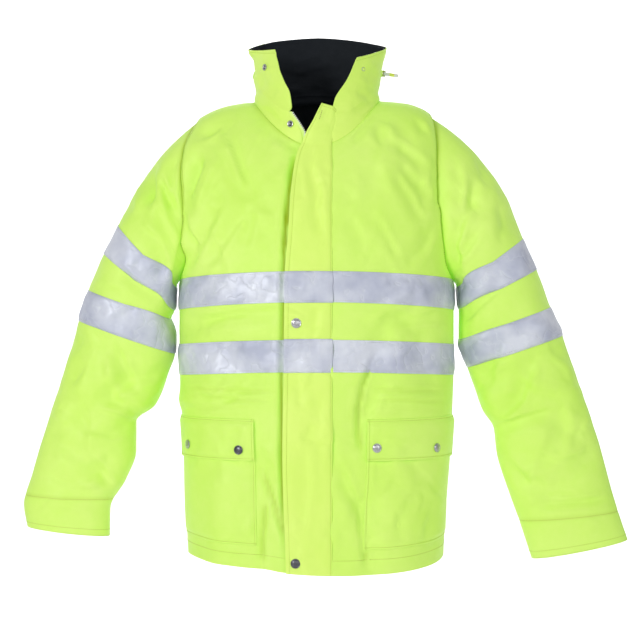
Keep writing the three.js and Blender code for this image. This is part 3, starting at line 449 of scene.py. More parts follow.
def tapeFinish():
    made = Finish("reflective_tape", {"Metallic": 0.08, "Specular IOR Level": 0.22, "Coat Weight": 0.09,
                                      "Coat Roughness": 0.3})
    clouds, grain = made.noise(17, 3, 0.55), made.noise(620, 2, 0.5)
    bent = made.noise(9, 2, 0.5)
    crinkleAndGlint = (made.noise(30, 2, 0.5) * 9 + bent * 14).sine().size()
    film = made.colours((0.7, 0.73, 0.81), (0.47, 0.5, 0.62), clouds * 2.8 - 0.9)
    # painted highlight: pale lines along the crinkles stand in for their glints
    made.feed("Base Color", made.colours(film, (0.84, 0.87, 0.9), (1 - crinkleAndGlint) ** 7 * 0.22))
    made.feed("Roughness", 0.34 + clouds * 0.2)
    made.bump(crinkleAndGlint ** 0.5 * 0.8 + clouds * 0.8 + grain * 0.05, 0.55, 0.0018)
    return made.material


def metalFinish(name, colour, rough):
    made = Finish(name, {"Metallic": 1})
    wear, brushed = made.noise(260, 3, 0.6), made.noise(1400, 2, 0.5)
    made.feed("Base Color", made.colours(colour, tuple(0.7 * c for c in colour), wear))
    made.feed("Roughness", rough + wear * 0.14)
    made.bump(brushed, 0.12, 0.0002)
    return made.material


def plasticFinish(name, colour, glow=0.05):
    # painted glow: the plastic gives off light of its own colour
    made = Finish(name, {"Specular IOR Level": 0.5, "Subsurface Weight": 0.15, "Subsurface Scale": 0.002,
                         "Emission Strength": glow})
    flow = made.noise(120, 3, 0.5)
    base = made.colours(colour, tuple(0.88 * c for c in colour), flow)
    made.feed("Base Color", base)
    made.feed("Emission Color", base)
    made.feed("Roughness", 0.32 + flow * 0.14)
    made.bump(flow, 0.1, 0.0003)
    return made.material


def bandedPlastic():
    # white, yellow and white along the hood zip's pull
    # painted glow: the pull gives off a little light of its own colour
    made = Finish("banded_plastic", {"Roughness": 0.35, "Subsurface Weight": 0.15, "Subsurface Scale": 0.002,
                                     "Emission Strength": 0.04})
    split = made.tree.nodes.new("ShaderNodeSeparateXYZ")
    made.tree.links.new(made.place().socket, split.inputs[0])
    along = Wire(made.tree, split.outputs[0])
    middle = (along > pullBand[0] * mm) * (along < pullBand[1] * mm)
    base = made.colours((0.72, 0.75, 0.7), (0.72, 0.84, 0.1), middle)
    made.feed("Base Color", base)
    made.feed("Emission Color", base)
    made.bump(made.noise(120, 3, 0.5), 0.1, 0.0003)
    return made.material


pullBand = (123.3, 131.5)
tapeSilver = tapeFinish()
nickel = metalFinish("nickel_snap", (0.62, 0.62, 0.64), 0.22)
gunmetal = metalFinish("dark_snap", (0.16, 0.16, 0.18), 0.28)
whitePlastic = plasticFinish("white_plastic", (0.84, 0.87, 0.74))
# painted glow, strongest on the zip teeth
toothPlastic = plasticFinish("zip_teeth", (0.9, 0.92, 0.84), 0.16)
sliderPaint = plasticFinish("painted_slider", (0.36, 0.42, 0.06), 0.05)


# ---------------------------------------------------------------- cloth meshes
def meshOf(name, points, faces, finish, maps=None, shade=None):
    mesh = bpy.data.meshes.new(name)
    mesh.from_pydata((np.asarray(points) * mm).tolist(), [], [list(map(int, f)) for f in faces])
    for material in finish:
        mesh.materials.append(material)
    if maps is not None:
        layer = mesh.uv_layers.new(name="cut")
        loops = np.zeros(len(mesh.loops), int)
        mesh.loops.foreach_get("vertex_index", loops)
        layer.data.foreach_set("uv", (np.asarray(maps)[loops] * mm).reshape(-1))
    # painted shade: a per-point amount that darkens the colour in seams and creases
    if shade is not None:
        mesh.attributes.new("shade", "FLOAT", "POINT").data.foreach_set("value", np.asarray(shade).reshape(-1))
    mesh.shade_smooth()
    piece = bpy.data.objects.new(name, mesh)
    bpy.context.scene.collection.objects.link(piece)
    return piece


def gridFaces(rows, columns, wrap=False):
    i, j = np.meshgrid(np.arange(rows - 1), np.arange(columns if wrap else columns - 1), indexing="ij")
    right = (j + 1) % columns
    return np.stack([i * columns + j, i * columns + right, (i + 1) * columns + right, (i + 1) * columns + j],
                    -1).reshape(-1, 4)


def gridMap(points, wrap=False):
    across = np.linalg.norm(np.diff(points, axis=1), axis=2).mean(0)
    along = np.linalg.norm(np.diff(points, axis=0), axis=2).mean(1)
    u, v = np.concatenate([[0], np.cumsum(across)]), np.concatenate([[0], np.cumsum(along)])
    return np.stack(np.meshgrid(u, v), -1).reshape(-1, 2)


def thicken(piece, wall, inner=1, offset=-1):
    pick(piece)
    solid = piece.modifiers.new("wall", "SOLIDIFY")
    solid.thickness, solid.offset, solid.material_offset = wall * mm, offset, inner
    bpy.ops.object.modifier_apply(modifier=solid.name)
    deselect()


def settle(piece, nodes, body=jacketBody):
    if nodes:
        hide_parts(*nodes)
    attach(piece, body)
    return piece


def gridNormals(points, outward, wrap=False):
    if wrap:
        around = np.roll(points, -1, 1) - np.roll(points, 1, 1)
    else:
        around = np.gradient(points, axis=1)
    normal = unit(np.cross(around, np.gradient(points, axis=0)))
    return normal * np.where((normal * outward).sum(-1) < 0, -1, 1)[..., None]


def clothPiece(name, nodes, points, finish, wall=None, wrap=False, flip=False,
               flat=None, shade=None):
    rows, columns = points.shape[:2]
    faces = gridFaces(rows, columns, wrap)
    if flip:
        faces = faces[:, ::-1]
    piece = meshOf(name, points.reshape(-1, 3), faces, finish, gridMap(points, wrap), shade)
    thicken(piece, wall or cloth["wall"], len(finish) - 1)
    settle(piece, nodes)
    return piece


def steps(low, high, step=None, edges=True):
    # even shares of a length in millimetres, with closer ones at both edges
    length = abs(high - low)
    count = max(4, round(length / (step or cloth["step"])))
    shares = np.linspace(0, 1, count + 1)
    if edges:
        extra = np.array([1.2, 2.6, 5.2]) / length
        shares = np.unique(np.round(np.concatenate([shares, extra, 1 - extra]), 6))
    return shares


def spread(low, high, step=None, edges=True):
    return mix(low, high, steps(low, high, step, edges))


# Body panels, cut round the armhole
def panelPiece(name, angle, front, node):
    wrapped = np.where(angle > 180, angle - 360, angle)
    sign = np.where(wrapped < 0, -1, 1)
    reach = armholeReach(angle, front)
    inside = (reach > 1) & (np.abs(front - cloth["armholeMiddle"]) < cloth["armholeHalf"] * 1.5)
    rows, columns = angle.shape
    faces = gridFaces(rows, columns)
    keep = ~inside.reshape(-1)[faces].all(1)
    faces = faces[keep]
    centre = sign * 90
    snapped = centre + (wrapped - centre) * reach
    snappedFront = cloth["armholeMiddle"] + (front - cloth["armholeMiddle"]) * reach
    turned = np.where(inside, snapped, wrapped)
    raised = np.where(inside, snappedFront, front)
    points, _ = bodySurface(turned, raised)
    used, index = np.unique(faces, return_inverse=True)
    maps = gridMap(plainBody(angle, front))
    # painted shade along the seams, beside the flap's edge and in the narrow creases
    shade = paintedBodyShade(turned, raised).reshape(-1)[used]
    piece = meshOf(name, points.reshape(-1, 3)[used], index.reshape(-1, 4), (hiVis, lining), maps[used], shade)
    thicken(piece, cloth["wall"], 1)
    settle(piece, [node])
    return piece


frontRows = spread(cloth["hem"], cloth["neck"])
zipEdge = {"right": cloth["zipX"] - cloth["zipHalf"], "left": cloth["zipX"] + cloth["zipHalf"]}


def frontAngles(side, shares, front):
    edge = angleAt(np.full(front.shape, float(zipEdge[side])), front)
    return mix(edge[:, None], 90.0 if side == "left" else -90.0, shares[None])


sideShares = steps(0, 285)
for side in ("right", "left"):
    turns = frontAngles(side, sideShares, frontRows)
    if side == "right":
        turns = turns[:, ::-1]
    panelPiece(f"front_{side}_cloth", turns, np.broadcast_to(frontRows[:, None], turns.shape),
               f"front_{side}")
backTurns = spread(90, 270, 0.9, False)
backTurns = np.unique(np.concatenate([backTurns, [90.3, 90.7, 91.4, 268.6, 269.3, 269.7]]))
backTurns, backFront = np.meshgrid(backTurns, frontRows)
panelPiece("back_cloth", backTurns, backFront, "back")
print("body panels")


# ---------------------------------------------------------------- sleeves
sleeveNames = ["ring", "outerX", "outerZ", "innerX", "innerZ", "halfDepth", "middleY", "square", "tuck"]
sleeveRings = {
    "right": [(-333, -214, -237, -312, 79, 0, 2.3, 22), (-357, -258, -240, -354, 78, 0, 2.3, 12),
              (-384, -320, -245, -369, 74, -1, 2.3, 8), (-392, -345, -238, -396, 73, -1, 2.3, 3),
              (-400, -371, -239, -427, 71, -2, 2.3, 0), (-418, -436, -249, -458, 67, -4, 2.2, 0),
              (-437, -496, -271, -513, 63, -6, 2.2, 0), (-450, -536, -303, -542, 58, -8, 2.1, 0),
              (-463, -578, -303, -590, 57, -10, 2.1, 0), (-477, -628, -320, -638, 53, -12, 2.1, 0),
              (-491, -678, -346, -686, 45, -14, 2.1, 0), (-485, -716, -347, -732, 40, -15, 2.1, 0)],
    "left": [(348, -238, 237, -312, 79, 0, 2.3, 16), (370, -285, 240, -352, 78, 0, 2.3, 8),
             (394, -348, 240, -403, 74, -1, 2.3, 4), (404, -372, 246, -426, 72, -1, 2.3, 0),
             (414, -396, 254, -449, 70, -2, 2.3, 0), (431, -446, 267, -486, 66, -4, 2.2, 0),
             (449, -499, 280, -523, 62, -6, 2.2, 0), (463, -539, 298, -552, 58, -8, 2.1, 0),
             (475, -577, 303, -594, 56, -10, 2.1, 0), (497, -660, 326, -667, 50, -12, 2.1, 0),
             (506, -690, 340, -706, 46, -14, 2.1, 0), (522, -738, 361, -770, 41, -15, 2.1, 0)]}
sleeveCut = {"bulge": {"right": 12, "left": 20}, "around": 128, "capRows": 30, "cuff": 60,
             "centre": (222, 2, -170), "upperTape": (0, 1), "lowerTape": (2, 4)}
sleeveFolds = {
    "right": [("front", [(-280, -120), (-284, -190)], 15, 7), ("front", [(-270, -150), (-235, -200)], 14, 4),
              ("front", [(-400, -400), (-300, -440)], 20, 5), ("front", [(-300, -470), (-400, -540)], 20, 6),
              ("front", [(-440, -560), (-360, -620)], 18, 5), ("back", [(-300, -130), (-290, -220)], 20, 6),
              ("back", [(-400, -420), (-310, -480)], 22, 6), ("back", [(-440, -550), (-350, -600)], 20, 5)],
    "left": [("front", [(280, -110), (270, -190)], 15, 6), ("front", [(330, -200), (300, -290)], 18, 4),
             ("front", [(400, -420), (300, -470)], 20, 6), ("front", [(330, -500), (430, -560)], 20, 6),
             ("front", [(460, -600), (380, -660)], 18, 5), ("back", [(300, -130), (285, -220)], 20, 6),
             ("back", [(410, -430), (310, -500)], 22, 6), ("back", [(455, -570), (360, -630)], 20, 5)]}
sleeveCreases = {
    "right": [("front", [(-257, -135), (-241, -165), (-228, -189)], 5, 2.6), ("front", [(-277, -140), (-257, -199), (-233, -255)], 8, 2.0),
              ("front", [(-327, -283), (-282, -321), (-248, -338)], 7, 2.2), ("front", [(-336, -407), (-317, -446), (-292, -496)], 8, 2.6),
              ("front", [(-359, -423), (-350, -469), (-323, -515)], 9, 2.0), ("front", [(-371, -599), (-351, -624), (-336, -654)], 7, 2.4),
              ("front", [(-445, -629), (-401, -650), (-346, -657)], 8, 2.0), ("front", [(-307, -181), (-287, -219), (-257, -245)], 8, 1.8),
              ("front", [(-397, -502), (-382, -552), (-389, -593)], 10, 1.8),
              ("front", [(-232, -96), (-238, -154), (-232, -200)], 6, 2.6), ("front", [(-278, -120), (-276, -147), (-281, -185)], 8, 3.2),
              ("front", [(-259, -136), (-242, -176)], 5, 2.2), ("front", [(-300, -150), (-316, -196)], 10, 1.8),
              ("front", [(-294, -531), (-317, -516), (-350, -506)], 7, 3.2), ("front", [(-300, -548), (-340, -560), (-390, -548)], 8, 2.6),
              ("front", [(-250, -460), (-300, -470), (-350, -500)], 9, 2.4), ("front", [(-262, -240), (-250, -280), (-262, -312)], 7, 2.6),
              ("front", [(-350, -620), (-400, -640), (-450, -622)], 9, 2), ("front", [(-380, -440), (-410, -480)], 10, 2),
              ("back", [(-236, -110), (-240, -170), (-236, -210)], 7, 2.6), ("back", [(-286, -110), (-300, -180), (-290, -230)], 10, 3),
              ("back", [(-300, -534), (-350, -516), (-400, -528)], 8, 3), ("back", [(-290, -480), (-340, -494), (-400, -470)], 9, 2.6),
              ("back", [(-340, -600), (-400, -616), (-450, -600)], 9, 2.2), ("back", [(-260, -430), (-320, -440)], 8, 2)],
    "left": [("front", [(261, -135), (256, -180), (225, -229)], 7, 2.8), ("front", [(266, -224), (246, -255), (225, -278)], 7, 2.4),
             ("front", [(302, -318), (269, -346), (240, -377)], 7, 2.4), ("front", [(315, -431), (286, -449), (266, -469)], 7, 2.4),
             ("front", [(361, -433), (335, -502), (297, -538)], 9, 3.0), ("front", [(375, -667), (401, -662), (434, -662)], 7, 1.8),
             ("front", [(315, -603), (335, -627), (355, -647)], 7, 2.2), ("front", [(302, -173), (312, -214), (299, -247)], 9, 1.8),
             ("front", [(401, -502), (411, -552), (394, -601)], 11, 1.8),
             ("front", [(267, -130), (264, -172), (258, -200)], 8, 2.8), ("front", [(243, -210), (226, -250), (236, -290)], 6, 2.8),
             ("front", [(297, -549), (337, -536), (390, -519)], 7, 3), ("front", [(304, -402), (287, -445), (281, -490)], 9, 2.6),
             ("front", [(363, -677), (428, -671), (489, -664)], 5, 2.4), ("front", [(320, -460), (360, -490), (410, -500)], 9, 2.2),
             ("front", [(350, -590), (400, -610), (460, -590)], 9, 2.2), ("front", [(300, -150), (320, -200), (330, -230)], 11, 1.8),
             ("front", [(330, -620), (380, -650)], 8, 2), ("front", [(232, -110), (238, -150), (232, -196)], 6, 2.2),
             ("back", [(236, -110), (240, -170), (236, -212)], 7, 2.6), ("back", [(284, -112), (306, -190), (296, -240)], 10, 3),
             ("back", [(300, -546), (350, -524), (420, -540)], 8, 3), ("back", [(296, -486), (350, -500), (420, -480)], 9, 2.6),
             ("back", [(356, -610), (410, -628), (470, -606)], 9, 2.4), ("back", [(262, -440), (330, -452)], 8, 2)]}


def armholeSpots(sign, turns):
    away = armholeOpen(turns) * np.where(turns > 180, -1, 1)
    points, _ = bodySurface(sign * (90 + away), armholeFront(turns))
    return points


def sectionAt(side, rings, turns):
    sign = -1 if side == "right" else 1
    table = [(k, *row) for k, row in enumerate(sleeveRings[side])]
    ring = {name: at(rings)[:, None] for name, at in curvesOf(sleeveNames, table).items()}
    cosine, sine = np.cos(np.radians(turns))[None], np.sin(np.radians(turns))[None]
    power = 2 / ring["square"]
    across, ahead = np.sign(cosine) * np.abs(cosine) ** power, np.sign(sine) * np.abs(sine) ** power
    tuck = 3.86 * ring["tuck"] * np.maximum(0, -sine) ** 5 * np.maximum(0, -cosine)
    x = mix(ring["innerX"], ring["outerX"], (1 + across) / 2) - sign * tuck
    y = ring["middleY"] + ring["halfDepth"] * ahead
    return np.stack([x, y, mix(ring["innerZ"], ring["outerZ"], (1 + across) / 2)], -1)


def sleeveSurface(side):
    sign = -1 if side == "right" else 1
    turns = np.linspace(0, 360, sleeveCut["around"], endpoint=False)
    cosine, sine = np.cos(np.radians(turns)), np.sin(np.radians(turns))
    seam = armholeSpots(sign, turns)
    rings, marks = [0.0], {}
    table = sleeveRings[side]
    for k in range(len(table) - 1):
        a, b = table[k], table[k + 1]
        length = (math.dist(a[:2], b[:2]) + math.dist(a[2:4], b[2:4])) / 2
        count = max(3, round(length / cloth["step"]))
        rings += [k + (n + 1) / count for n in range(count)]
    rings = np.array(rings)
    tube = sectionAt(side, rings, turns)
    shares = np.concatenate([[0, 0.012, 0.028, 0.05], np.linspace(0.08, 1, sleeveCut["capRows"])[:-1]])
    radial = np.stack([sign * np.maximum(0, cosine), sine, 0.8 * np.maximum(0, cosine)], -1)
    swell = sleeveCut["bulge"][side] * (1 + cosine) / 2
    cap = mix(seam[None], tube[:1], shares[:, None, None])
    cap = cap + radial[None] * (swell[None] * 4 * shares[:, None] * (1 - shares[:, None]))[..., None]
    points = np.concatenate([cap, tube])
    firstRing = len(shares)
    for _ in range(14):  # rounds the join between the cap and the tube
        smooth = points.copy()
        smooth[1:-1] = (points[:-2] + 2 * points[1:-1] + points[2:]) / 4
        blend = np.clip(1 - np.abs(np.arange(len(points)) - firstRing) / 9, 0, 1)[:, None, None]
        points = mix(points, smooth, blend)
    middle = points.mean(1, keepdims=True)
    normal = gridNormals(points, points - middle, True)
    names = {"around": turns, "rings": np.concatenate([np.full(len(shares), -1.0), rings])}
    folded = strokeDepth(points, middle[..., 1], sleeveFolds[side])
    small = scattered(31 if sign < 0 else 32, "front", (-480, -240) if sign < 0 else (240, 510), (-720, -120),
                      46, (24, 80), (6, 12), (0.6, 1.4), [-30 * sign, 15 * sign, 80])
    small += scattered(33 if sign < 0 else 34, "back", (-480, -240) if sign < 0 else (240, 510), (-720, -120),
                       46, (24, 80), (6, 12), (0.6, 1.5), [-30 * sign, 15 * sign, 80])
    creased = strokeDepth(points, middle[..., 1], sleeveCreases[side] + small, True)
    along = np.concatenate([[0], np.cumsum(np.linalg.norm(np.diff(points, axis=0), axis=2).mean(1))])
    fromCuff = along[-1] - along
    hemmed = 0.7 * np.exp(-((fromCuff - sleeveCut["cuff"]) / 3.2) ** 2)
    ease = np.clip(np.arange(len(points)) / 5, 0, 1)[:, None]
    plain = points - normal * (folded * ease)[..., None]
    full = points - normal * ((folded + creased + hemmed[:, None]) * ease)[..., None]
    # painted shade at the armhole seam and along the cuff's hem
    shade = np.broadcast_to((0.65 * np.exp(-(along / 4) ** 2) + 0.3 * hemmed)[:, None], points.shape[:2])
    return {"plain": plain, "full": full, "shade": shade, "normal": normal, "rings": names["rings"], "turns": turns,
            "fromCuff": fromCuff}


sleeves = {side: sleeveSurface(side) for side in ("right", "left")}
for side, made in sleeves.items():
    clothPiece(f"sleeve_{side}_cloth", [f"sleeve_{side}"], made["full"], (hiVis, lining), wrap=True,
               flip=side == "left", flat=(0.50, 0.66), shade=made["shade"])
print("sleeves")


# ---------------------------------------------------------------- collar
collarCut = {"edges": (12, 366), "zipTop": 0.348, "reach": 0.22, "waist": 2.5, "hoodZip": (0.46, 0.58),
             "hoodTurns": (84, 277), "lining": (24, 332), "around": 176, "up": 54}
collarTop = curvesOf(["turn", "x", "y", "z"], [
    (12, -66.5, -75, 74), (50, -93, -40, 78), (90, -114, 0, 86), (135, -88, 58, 106), (180, 3, 90, 120),
    (225, 90, 58, 106), (270, 118, -5, 88), (320, 98, -48, 73), (366, 65, -80, 60)])
collarEdges = {
    "right": curvesOf(["z", "x", "y"], [
        (-87, -16.2, -106), (-78, -16.2, -106), (-66, -18.2, -105.5), (-54, -24.6, -104.2), (-43, -31.6, -102.6), (-30, -39.5, -100),
        (-1, -43.5, -95), (20, -53.5, -90), (42, -62.5, -84), (74, -69, -75)]),
    "left": curvesOf(["z", "x", "y"], [
        (-87, -15.8, -106), (-78, -15.8, -106), (-66, -12, -105.5), (-45, 8, -103), (-26, 26, -101),
        (-9, 31, -99.5), (23, 51, -90), (60, 67.5, -80)])}
collarCreases = [
    ("front", [(-98, -20), (-80, -30), (-58, -52)], 8, 1.2), ("front", [(-98, 24), (-84, 14), (-62, 2)], 9, 1.1),
    ("front", [(-100, 52), (-92, 38), (-72, 30)], 8, 0.9), ("front", [(96, -4), (80, -20), (58, -30)], 8, 1.1),
    ("front", [(104, 40), (86, 30), (70, 36)], 8, 0.9), ("front", [(100, 14), (84, 2), (62, 4)], 9, 1),
    ("back", [(-90, 10), (-50, 26), (-10, 12)], 10, 1.1), ("back", [(20, 30), (60, 14), (92, 24)], 10, 1.1),
    ("back", [(-70, 84), (-30, 96), (10, 88)], 9, 0.8), ("back", [(30, 92), (66, 80)], 9, 0.8)]
collarPinch = {"right": curve([-10, 1, 13, 24, 35, 48, 67, 79, 90], [0, 0.8, 3.7, 2, 0, 3.6, 4.4, -1.6, -2]),
               "left": curve([-10, 0, 12, 30, 60, 76, 90], [0, -1.2, 2.2, 0, 0, -1.2, -0.6])}


def collarSurface():
    neck = np.array([cloth["neck"]], float)
    first = -float(angleAt(np.array([float(zipEdge["right"])]), neck)[0])
    last = 360 - float(angleAt(np.array([float(zipEdge["left"])]), neck)[0])
    turns = spread(first, last, (last - first) / collarCut["around"], False)
    shares = np.unique(np.concatenate([np.linspace(0, 1, collarCut["up"]), [0.008, 0.016, 0.03], collarCut["hoodZip"],
                                       [collarCut["zipTop"], 0.965, 0.98, 0.99]]))
    seam, _ = bodySurface(-turns, np.full(turns.shape, neck[0]))
    top = np.stack([collarTop[name](turns) for name in "xyz"], -1)
    points = mix(seam[None], top[None], shares[:, None, None])
    along = (turns - first) / (last - first)
    for side, column, inward, height, near in (("right", 0, -1, 74, along), ("left", -1, 1, 60, 1 - along)):
        z = mix(cloth["neck"], height, shares)
        inset = cloth["zipHalf"] * np.clip((0.385 - shares) / (0.385 - collarCut["zipTop"]), 0, 1)
        edge = np.stack([collarEdges[side]["x"](z) + inward * inset, collarEdges[side]["y"](z), z], -1)
        shift = edge - points[:, column]
        weight = np.maximum(0, 1 - near / collarCut["reach"]) ** 2
        points = points + shift[:, None] * weight[None, :, None] * (shares > 0)[:, None, None]
    radial = unit(points * (1, 1, 0))
    waist = collarCut["waist"] * np.sin(math.pi * shares)[:, None] * np.minimum(1, 6 * along * (1 - along))[None]
    points = points - radial * waist[..., None]
    leftward = np.clip(1 - np.abs(turns - 88) / 42, 0, 1) ** 0.8
    rightward = np.clip(1 - np.abs(turns - 274) / 42, 0, 1) ** 0.8
    pinch = collarPinch["right"](points[..., 2]) * leftward + collarPinch["left"](points[..., 2]) * rightward
    points = points - radial * pinch[..., None]
    normal = gridNormals(points, points * (1, 1, 0) + (0, 10, 0))
    depth = strokeDepth(points, 0, collarCreases + scattered(41, "front", (-110, 110), (-40, 70), 14, (16, 44), (6, 9),
                                                             (0.3, 0.6), [0, 30, -30, 80])
                        + scattered(42, "back", (-110, 110), (-10, 100), 22, (20, 60), (5, 9), (0.5, 1.0), [0, 12, 80]), True)
    depth *= np.clip(shares / 0.13, 0, 1)[:, None]
    drawn = 1.2 * np.clip((300 - turns) / 30, 0.1, 1)  # drawn in at the neck seam
    depth += np.exp(-(shares / 0.03) ** 2)[:, None] * drawn
    depth += 0.9 * np.exp(-((shares - 0.955) / 0.012) ** 2)[:, None]  # stitched below the top edge
    depth *= np.clip(shares / 0.02, 0, 1)[:, None]
    return {"points": points - normal * depth[..., None], "smooth": points, "normal": normal, "turns": turns,
            "shares": shares}


collar = collarSurface()
collarFoot = collar["points"][:1] + collar["normal"][3:4] * -1.3 + (0, 0, -3.4)
clothPiece("collar_cloth", ["collar"], np.concatenate([collarFoot, collar["points"]]), (hiVisTrim, lining), wall=1.8, flip=True,
           flat=(0.62, 0.165))


def cut(grid, rows, columns):
    return grid[rows[0]:rows[1] + 1, columns[0]:columns[1] + 1]


def nearest(values, wanted):
    return int(np.abs(np.asarray(values) - wanted).argmin())


def collarStrip(low, high, first, last, lift):
    rows = nearest(collar["shares"], low), nearest(collar["shares"], high)
    columns = nearest(collar["turns"], first), nearest(collar["turns"], last)
    return cut(collar["points"] + collar["normal"] * lift, rows, columns), cut(collar["normal"], rows, columns)


liningGrid, _ = collarStrip(0, 0.98, *collarCut["lining"], -4)
liningFoot = liningGrid[:1] + (liningGrid[:1] * (-0.03, -0.03, 0) + (0, 0, -14)) * np.array([1.0, 0.5])[:, None, None]
liningGrid = np.concatenate([liningFoot, liningGrid])
clothPiece("collar_lining_cloth", ["collar_lining"], liningGrid, (lining,), wall=0.9, flip=True,
           flat=(0.56, 0.155))
liningTurns, liningFront = np.meshgrid(spread(110, 250, 1.2, False), spread(-165, cloth["neck"], 4, False))
liningPoints, liningNormal = bodySurface(liningTurns, liningFront)
clothPiece("back_lining_cloth", ["back_lining"], liningPoints - liningNormal * 2.7, (lining,),
           wall=0.9, flat=(0.42, 0.125))
print("collar")


# ---------------------------------------------------------------- storm flap
flapEdge = curve([-779, -728, -589, -456, -300, -241, -175, -128, -104, -87],
                 [-47.9, -49.3, -53.6, -51.6, -50, -45.3, -41.3, -35.7, -30, -22])
flapTopRows = [(-16.8, -66, 30, -68, -113.2), (-7, -49, 33, -54, -112.4), (3.3, -29, 35, -36, -111.4),
               (9.1, -18, 37, -22.5, -110.6)]
flapCreases = [
    ("front", [(-5, -105), (-7, -128), (3, -164), (7, -243)], 8, 2.0), ("front", [(-20, -560), (-16, -640), (-26, -720)], 9, 1.2),
    ("front", [(4, -350), (-4, -390)], 7, 1.2), ("front", [(-30, -120), (-24, -180)], 8, 1.4),
    ("front", [(10, -480), (2, -540), (8, -600)], 9, 1.0), ("front", [(-34, -420), (-26, -520)], 10, 1.0)]


def flapSurface():
    shares = steps(26, -50, 3.2)
    freeX = flapEdge(frontRows)
    x = mix(cloth["flapSeamX"], freeX[:, None], shares[None])
    front = np.broadcast_to(frontRows[:, None], x.shape)
    points, normal = bodySurface(angleAt(x, front), front, False)
    flush = 1 - np.clip(shares * 76 / 7, 0, 1) ** 0.7
    lift = mix(cloth["gap"] + cloth["flapLift"] * shares + cloth["wall"] + 0.5, 0.5, flush)
    points = points + normal * lift[None, :, None]
    marks = [points[-1]]
    beneath = collar["points"][:, collar["turns"] > 300].reshape(-1, 3)
    for freeTopX, freeZ, seamX, seamZ, y in flapTopRows:
        across = mix(seamX, freeTopX, shares)
        up = mix(freeZ, seamZ, np.clip((across - freeTopX) / (27 - freeTopX), 0, 1)) - np.maximum(0, across - 27)
        row = np.stack([across, y + 1.5 * (1 - shares), up], -1)
        away = np.hypot(row[:, None, 0] - beneath[None, :, 0], row[:, None, 2] - beneath[None, :, 2])
        inward = seamX - across
        collarY = beneath[away.argmin(1), 1] + 1.8 * np.clip(1 - inward / 9, 0, 1) - 0.5
        row[:, 1] = mix(collarY, row[:, 1], np.clip(inward / 34, 0, 1) ** 1.6)
        marks.append(row)
    marks = np.array(marks)
    along = np.linspace(0, 4, 22)[1:]
    above = np.stack([curve(np.arange(5), marks[:, j, axis])(along)
                      for j in range(len(shares)) for axis in range(3)], -1).reshape(len(along), len(shares), 3)
    points = np.concatenate([points, above])
    for _ in range(6):  # eases the flap over the neck seam
        smooth = points.copy()
        smooth[1:-1] = (points[:-2] + 2 * points[1:-1] + points[2:]) / 4
        blend = np.clip(1 - np.abs(np.arange(len(points)) - len(frontRows)) / 8, 0, 1)[:, None, None]
        points = mix(points, smooth, blend)
    normal = gridNormals(points, np.array([0, -1, 0]))
    depth = strokeDepth(points, 0, flapCreases + scattered(
        51, "front", (-45, 25), (-770, -60), 30, (20, 60), (5, 9), (0.4, 0.9), [85, 95, 60, 0]), True)
    seamward = shares * 76
    depth += 0.7 * np.exp(-((76 - seamward - 7) / 2.4) ** 2)[None]
    return {"points": points - normal * depth[..., None], "normal": normal, "shares": shares}


flap = flapSurface()
clothPiece("storm_flap_cloth", ["storm_flap"], flap["points"], (hiVisTrim, hiVisTrim), flip=True,
           flat=(0.080, 0.77))
print("storm flap")


# ---------------------------------------------------------------- pockets and their flaps
def pocketSurface(side, low, high, lift):
    sign = -1 if side == "right" else 1
    start = cloth["pocketAngleRight"] if side == "right" else cloth["pocketAngleLeft"]
    across = steps(0, 220)
    front = spread(low, high)
    end = mix(start, 90, cloth["pocketShare"])
    angle = sign * mix(start, end, across)[None]
    angle, up = np.broadcast_arrays(angle, front[:, None])
    points, normal = bodySurface(angle, up, False)
    share = np.clip((up - cloth["pocketBottom"]) / (cloth["pocketTop"] - cloth["pocketBottom"]), 0, 1)
    puff = cloth["pocketPuff"] * np.sin(math.pi * share) * np.sin(math.pi * across)[None]
    edge = np.minimum(np.minimum(across, 1 - across)[None] * 220, np.minimum(up - low, high - up))
    dip = 1.0 * np.exp(-((edge - 5) / 2) ** 2)
    wrinkle = strokeDepth(points, 0, scattered(61 if sign < 0 else 62, "front", (-200, 200), (-740, -540), 60,
                                               (24, 80), (6, 12), (0.5, 1.1), [80, 95, 10, -60]), True)
    sewn = np.minimum(across, 1 - across)[None] * 220 if lift else edge
    sewn = np.minimum(sewn + 40 * (lift > 0), high - up + 40 * (lift == 0))
    out = mix(0.5, cloth["gap"] + cloth["wall"] + lift, np.clip(sewn / 10, 0, 1) ** 0.8)
    out = out + puff - dip - wrinkle * np.clip(edge / 12, 0, 1)
    return {"points": points + normal * out[..., None], "normal": normal}


pockets, pocketFlaps = {}, {}
for side in ("right", "left"):
    pockets[side] = pocketSurface(side, cloth["pocketBottom"], cloth["pocketTop"], 0)
    pocketFlaps[side] = pocketSurface(side, cloth["pocketFlapBottom"], cloth["pocketFlapTop"], 2.8)
    clothPiece(f"pocket_{side}_cloth", [f"pocket_{side}"], pockets[side]["points"], (hiVis, hiVis), wall=1.8,
               flip=side == "right", flat=(0.23, 0.20))
    clothPiece(f"pocket_flap_{side}_cloth", [f"pocket_flap_{side}"], pocketFlaps[side]["points"], (hiVis, hiVis),
               wall=2.2, flip=side == "right", flat=(0.23, 0.07))
print("pockets")


# ---------------------------------------------------------------- reflective tape
tapeCut = {"lift": 1.1, "wall": 0.7, "crinkle": 1.15}


def facets(along, across, seed, amount):
    # crumpled film: straight ridges in several directions, held down at both sewn edges
    rng = np.random.default_rng(seed)
    height = np.zeros(np.broadcast(along, across).shape)
    for wave in (26, 34, 47, 66, 90):
        turn = rng.uniform(-0.9, 0.9)
        phase = along * math.cos(turn) + across * math.sin(turn) * 1.4
        height += (np.abs(np.sin(math.pi * phase / wave + rng.uniform(0, 6))) - 0.6) * wave / 60
    return amount * height


